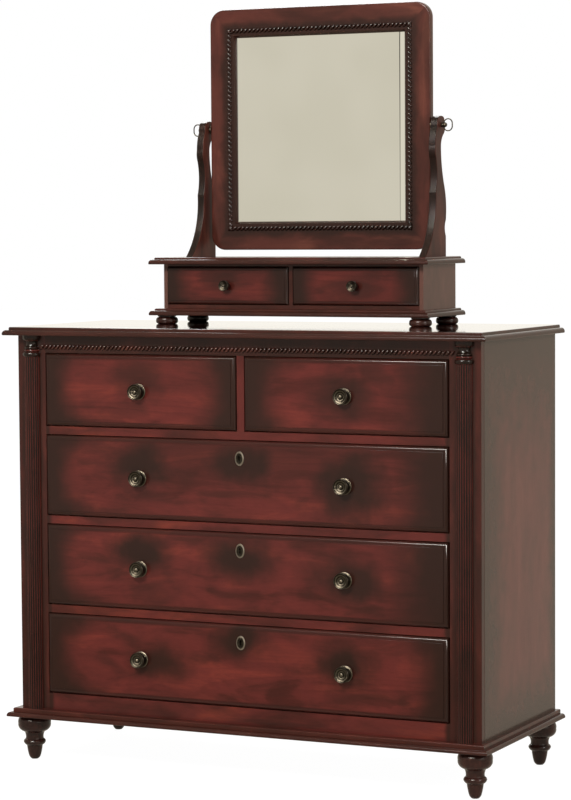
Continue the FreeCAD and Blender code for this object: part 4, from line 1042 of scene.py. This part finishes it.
def lamp(way):
    """The bright rectangle of the lamp among the ways that gloss mirrors."""
    axes = parts_of(way)
    bearing = bearing_of(axes["X"], times(axes["Y"], -1.0))
    left, left_full, right_full, right = [math.radians(edge) for edge in LAMP_BEARINGS]
    low, low_full, high_full, high = LAMP_HEIGHTS
    sides = times(fade(bearing, left, left_full), fade(bearing, right_full, right, 1.0, 0.0))
    ends = times(fade(axes["Z"], low, low_full), fade(axes["Z"], high_full, high, 1.0, 0.0))
    return times(times(sides, ends), LAMP_STRENGTH)


def plain_shader(tree, kind, colour, strength=None):
    """The output of a plain shader of one kind, colour and strength."""
    inputs = {"Color": colour} if strength is None else {"Color": colour, "Strength": strength}
    return put(tree, "ShaderNode" + kind, inputs).outputs[0]


def by_ray(soft, mirrored, seen):
    """One surface for the camera, one for gloss and one for all other light."""
    rays = put(soft.id_data, "ShaderNodeLightPath").outputs
    shine = put_with("ShaderNodeMixShader", {0: rays["Is Glossy Ray"], 1: soft, 2: mirrored})
    return put_with("ShaderNodeMixShader", {0: rays["Is Camera Ray"], 1: shine[0], 2: seen})[0]


def room():
    """What lacquer, brass and glass mirror: a beige room in front, white behind."""
    world = bpy.data.worlds.new("studio")
    bpy.context.scene.world = world
    world.use_nodes = True
    tree = world.node_tree
    tree.nodes.clear()
    way = put(tree, "ShaderNodeTexCoord").outputs["Generated"]
    back = facing(way, BEHIND)
    wall = blend_paint(fade(back, *WARM_STEPS), paint(ROOM_BEIGE), paint(ROOM_WARM))
    wall = blend_paint(fade(back, *WHITE_STEPS), wall, paint(BEHIND_WHITE))
    glow = fade(facing(way, PANEL_WAY), *PANEL_STEPS, 1.0, PANEL_STRENGTH)
    glow = plus(glow, lamp(way))
    mirrored = plain_shader(tree, "Background", wall, glow)
    seen = plain_shader(tree, "Background", paint(ROOM_WHITE), 1.0)
    soft = plain_shader(tree, "Background", paint(ROOM_WHITE), AMBIENT)
    put(tree, "ShaderNodeOutputWorld", {"Surface": by_ray(soft, mirrored, seen)})


def pale_floor():
    """White to the camera but for a soft shadow, and dimmer in front where it is mirrored."""
    material, shader, place = new_material("pale_floor")
    tree = material.node_tree
    tree.nodes.remove(shader)
    axes = parts_of(place)
    matt = plain_shader(tree, "BsdfDiffuse", paint(FLOOR_MATT))
    dim = plain_shader(tree, "BsdfDiffuse", paint(FLOOR_SHADE))
    glow = plain_shader(tree, "Emission", paint(ROOM_WHITE), FLOOR_GLOW)
    seen = put_with("ShaderNodeAddShader", {0: dim, 1: glow})[0]
    tone = blend_paint(fade(axes["Y"], *FLOOR_DIM_SPAN), paint(FLOOR_DIM), paint(FLOOR_WARM))
    tone = blend_paint(fade(axes["Y"], *FLOOR_PALE_SPAN), paint(ROOM_BEIGE), tone)
    # Gloss rays see the floor glow with this painted tone, a painted reflection
    mirrored = plain_shader(tree, "Emission", tone, 1.0)
    give(tree.nodes["Material Output"], {"Surface": by_ray(matt, mirrored, seen)})
    return material


def studio():
    """The lights, the room and the floor."""
    for name, sizes in SOFTBOXES.items():
        softbox(name, *sizes)
    room()
    corners = [(x * FLOOR_REACH, y * FLOOR_REACH, FLOOR_Z)
               for x, y in ((-1, -1), (1, -1), (1, 1), (-1, 1))]
    floor = mesh_object("floor", corners, [range(4)])
    dress(floor, pale_floor())
    bpy.context.scene.view_settings.view_transform = "Standard"


# How far each board's glaze reaches in from its edges, and its strength there
TOP_EDGE = (34.0 * MM, 0.7)
BASE_EDGE = (22.0 * MM, 0.6)
STAND_EDGE = (24.0 * MM, 0.7)
# The least and the most strength of a glaze that is dark all over
# The frieze's glaze is this dark partly to paint in the shadow under the top's overhang
FRIEZE_GLAZE_AND_SHADE_STRENGTHS = (0.6, 0.95)
STAND_STRENGTHS = (0.2, 0.7)
FRIEZE_ROPE_STRENGTHS = (0.25, 0.8)
MIRROR_ROPE_STRENGTHS = (0.6, 0.9)
# A face whose normal rises more than this is the polished upper side
UPWARD = 0.9


def edged_board(node, edge, name=None):
    """A moulded board's finish, darkened along its edges."""
    return edge_glazed(name or f"{node}_cherry", node, "X", BOARD_TONES, *edge)


def finish_case():
    """The chest: boards, side panels, posts, columns, rails and feet."""
    top = eased("top_board", edged_board("top_board", TOP_EDGE))
    top.data.materials.append(polish(edged_board("top_board", TOP_EDGE, "top_face_cherry")))
    for face in top.data.polygons:
        face.material_index = int(face.normal.z > UPWARD)
    eased("base_board", edged_board("base_board", BASE_EDGE))
    for side in ("left", "right"):
        dress(nodes[f"{side}_side_panel"], glazed_side(side))
        eased(f"{side}_post", glazed_post(side))
        eased(f"{side}_column", glazed_column(side))
    dress(nodes["drawer_rails"], glazed_rails())
    # The frieze: dark glaze together with a painted shadow of the top's overhang, near black
    # all over
    dress(nodes["frieze_rail"],
          dark_cherry("frieze_cherry", "X", CASE_TONES, *FRIEZE_GLAZE_AND_SHADE_STRENGTHS))
    dress(nodes["top_drawer_divider"], cherry("divider_cherry", "Z", RAIL_TONES))
    turning = cherry("turned_cherry", "Z", TURNED_TONES)
    eased("feet", turning)
    eased("stand_feet", turning)


def finish_stand():
    """The mirror's stand and its uprights."""
    stand_wood = dark_cherry("stand_cherry", "X", BOARD_TONES, *STAND_STRENGTHS)
    for node in ("stand_rail", "stand_divider", "stand_floor"):
        dress(nodes[node], stand_wood)
    for node in ("stand_top", "stand_base"):
        eased(node, edged_board(node, STAND_EDGE))
    dress(nodes["stand_sides"], edge_glazed("stand_side_cherry", "stand_sides", "Z",
                                            STAND_SIDE_TONES, *BASE_EDGE, SIDE_GLAZE))
    for side in ("left", "right"):
        eased(f"{side}_upright", glazed_upright(f"{side}_upright"))


def finish_drawers():
    """Fronts, boxes and hardware of all seven drawers."""
    worn = plain_brass()
    for seed, drawer in enumerate(DRAWERS, start=1):
        eased(f"{drawer}_front", burnished_front(drawer, seed))
        dress(nodes[f"{drawer}_box"], dovetailed_maple(drawer))
        eased(knob_node(drawer), knob_brass(drawer))
        if f"{drawer}_escutcheon" in nodes:
            eased(f"{drawer}_escutcheon", plate_brass(f"{drawer}_escutcheon"))
    for node in ("mirror_pivot_plates", "left_thumbscrew", "right_thumbscrew"):
        eased(node, worn)
    return worn


def finish_inside(tree):
    """Runners, guides and backs: plain wood that the case hides."""
    runner_wood = pale_wood("runner_poplar", "Y", POPLAR)
    for node in ("drawer_runners", "drawer_guides"):
        dress(nodes[node], runner_wood)
    back_wood = pale_wood("back_panel_ply", "Z", PLY)
    for node in ("stand_back", "mirror_backing"):
        dress(nodes[node], back_wood)
    _, _, inset, pitch = BACK_SCREW
    plug = sink_plug()
    runs = runs_round("back_panel", inset, shift=pitch / 2)
    sinks = copies_along("sinks", runs, plug, pitch, back_wood, tree)
    eased("back_panel", back_wood, sinks)
    for thing in (plug, sinks):
        bpy.data.objects.remove(thing)


def finish_mirror():
    """The frame, with grain along each member, and its glass."""
    members = (("mirror_top_rail", "X"), ("mirror_bottom_rail", "X"),
               ("mirror_left_stile", "Z"), ("mirror_right_stile", "Z"))
    for seed, (node, axis) in enumerate(members, start=1):
        eased(node, glazed_frame(node, axis, seed))
    dress(nodes["mirror_glass"], silvered_glass())


# The first strand of the frieze stands this many pitches in from its end
FRIEZE_INSET_SHARE = 0.85
FRIEZE_ROPE_PITCH = 10.7 * MM
MIRROR_ROPE_PITCH = 11.4 * MM
# The strands' crowns are rubbed brighter than flat lacquer
ROPE_SHEEN = 0.42


def ropes(tree):
    """The carved rope on the frieze and round the mirror's glass."""
    red = dark_cherry("frieze_rope_cherry", "X", FRAME_TONES, *FRIEZE_ROPE_STRENGTHS,
                      BLACK_GLAZE, sheen=ROPE_SHEEN)
    dark = dark_cherry("mirror_rope_cherry", "X", CASE_TONES, *MIRROR_ROPE_STRENGTHS,
                       BLACK_GLAZE, sheen=ROPE_SHEEN)
    low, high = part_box("frieze_rope_moulding")
    radius = (high.z - low.z) / 2
    strand = rope_strand("frieze_strand", radius, FRIEZE_ROPE_PITCH)
    inset = FRIEZE_ROPE_PITCH * FRIEZE_INSET_SHARE
    middle_z = (low.z + high.z) / 2
    run = ((low.x + inset, high.y, middle_z), (high.x - inset, high.y, middle_z))
    stand_in(copies_along("frieze_rope", [run], strand, FRIEZE_ROPE_PITCH, red, tree),
             "frieze_rope_moulding")
    low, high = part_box("mirror_rope_moulding")
    radius = high.y - low.y
    small = rope_strand("mirror_strand", radius, MIRROR_ROPE_PITCH)
    runs = runs_round("mirror_rope_moulding", radius)
    stand_in(copies_along("mirror_rope", runs, small, MIRROR_ROPE_PITCH, dark, tree),
             "mirror_rope_moulding")
    for thing in (strand, small):
        bpy.data.objects.remove(thing)


# Screws behind: radius and height of a head, inset from the panel's edge, and pitch
BACK_SCREW = (4.0 * MM, 1.8 * MM, 5.0 * MM, 145.0 * MM)
SMALL_SCREW = (2.6 * MM, 1.2 * MM, 4.5 * MM, 95.0 * MM)
# The case's screws are sunk, because its back stands against a wall
SINK_RADIUS = 4.4 * MM
SINK_DEPTH = 2.0 * MM


def sink_plug():
    """The shape of a sink for a screw's head, open through the plane Y = 0 towards +Y."""
    verts = [(SINK_RADIUS * math.cos(turn), y, SINK_RADIUS * math.sin(turn))
             for y in (-SINK_DEPTH, SINK_DEPTH) for turn in turns(HEAD_POINTS)]
    return tube("sink_plug", verts, HEAD_POINTS)


def screws_round(name, node, sizes, material, tree, lift=0.0):
    """Screws along all four edges of a panel's back, riding with the panel."""
    radius, height, inset, pitch = sizes
    head = screw_head(name + "_head", radius, height)
    runs = runs_round(node, inset, lift, pitch / 2)
    piece = copies_along(name, runs, head, pitch, material, tree)
    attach(piece, body_of[node])
    bpy.data.objects.remove(head)


PIN_RADIUS = 1.1 * MM
PIN_HEIGHT = 0.8 * MM
PIN_INSET = 4.2 * MM
# A pitch just short of the run puts a pin at both its ends
PIN_PITCH_SHARE = 0.999


def keyhole_pins(worn, tree):
    """The two brass pins that hold each keyhole plate."""
    pin = screw_head("plate_pin", PIN_RADIUS, -PIN_HEIGHT)
    for drawer in DRAWERS:
        node = f"{drawer}_escutcheon"
        if node in nodes:
            low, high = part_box(node)
            x = (low.x + high.x) / 2
            run = ((x, low.y, low.z + PIN_INSET), (x, low.y, high.z - PIN_INSET))
            pitch = (high.z - low.z - PIN_INSET * 2) * PIN_PITCH_SHARE
            piece = copies_along(f"{drawer}_pins", [run], pin, pitch, worn, tree)
            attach(piece, body_of[node])
    bpy.data.objects.remove(pin)


def fixings(worn, tree):
    """Screws behind the panels and pins through the keyhole plates."""
    bright = zinc()
    screws_round("back_screws", "back_panel", BACK_SCREW, bright, tree, -SINK_DEPTH)
    screws_round("stand_back_screws", "stand_back", SMALL_SCREW, bright, tree)
    screws_round("mirror_back_screws", "mirror_backing", SMALL_SCREW, bright, tree)
    keyhole_pins(worn, tree)


camera()
studio()
finish_case()
finish_stand()
worn_brass = finish_drawers()
copies = repeat_tree()
finish_inside(copies)
finish_mirror()
ropes(copies)
fixings(worn_brass, copies)
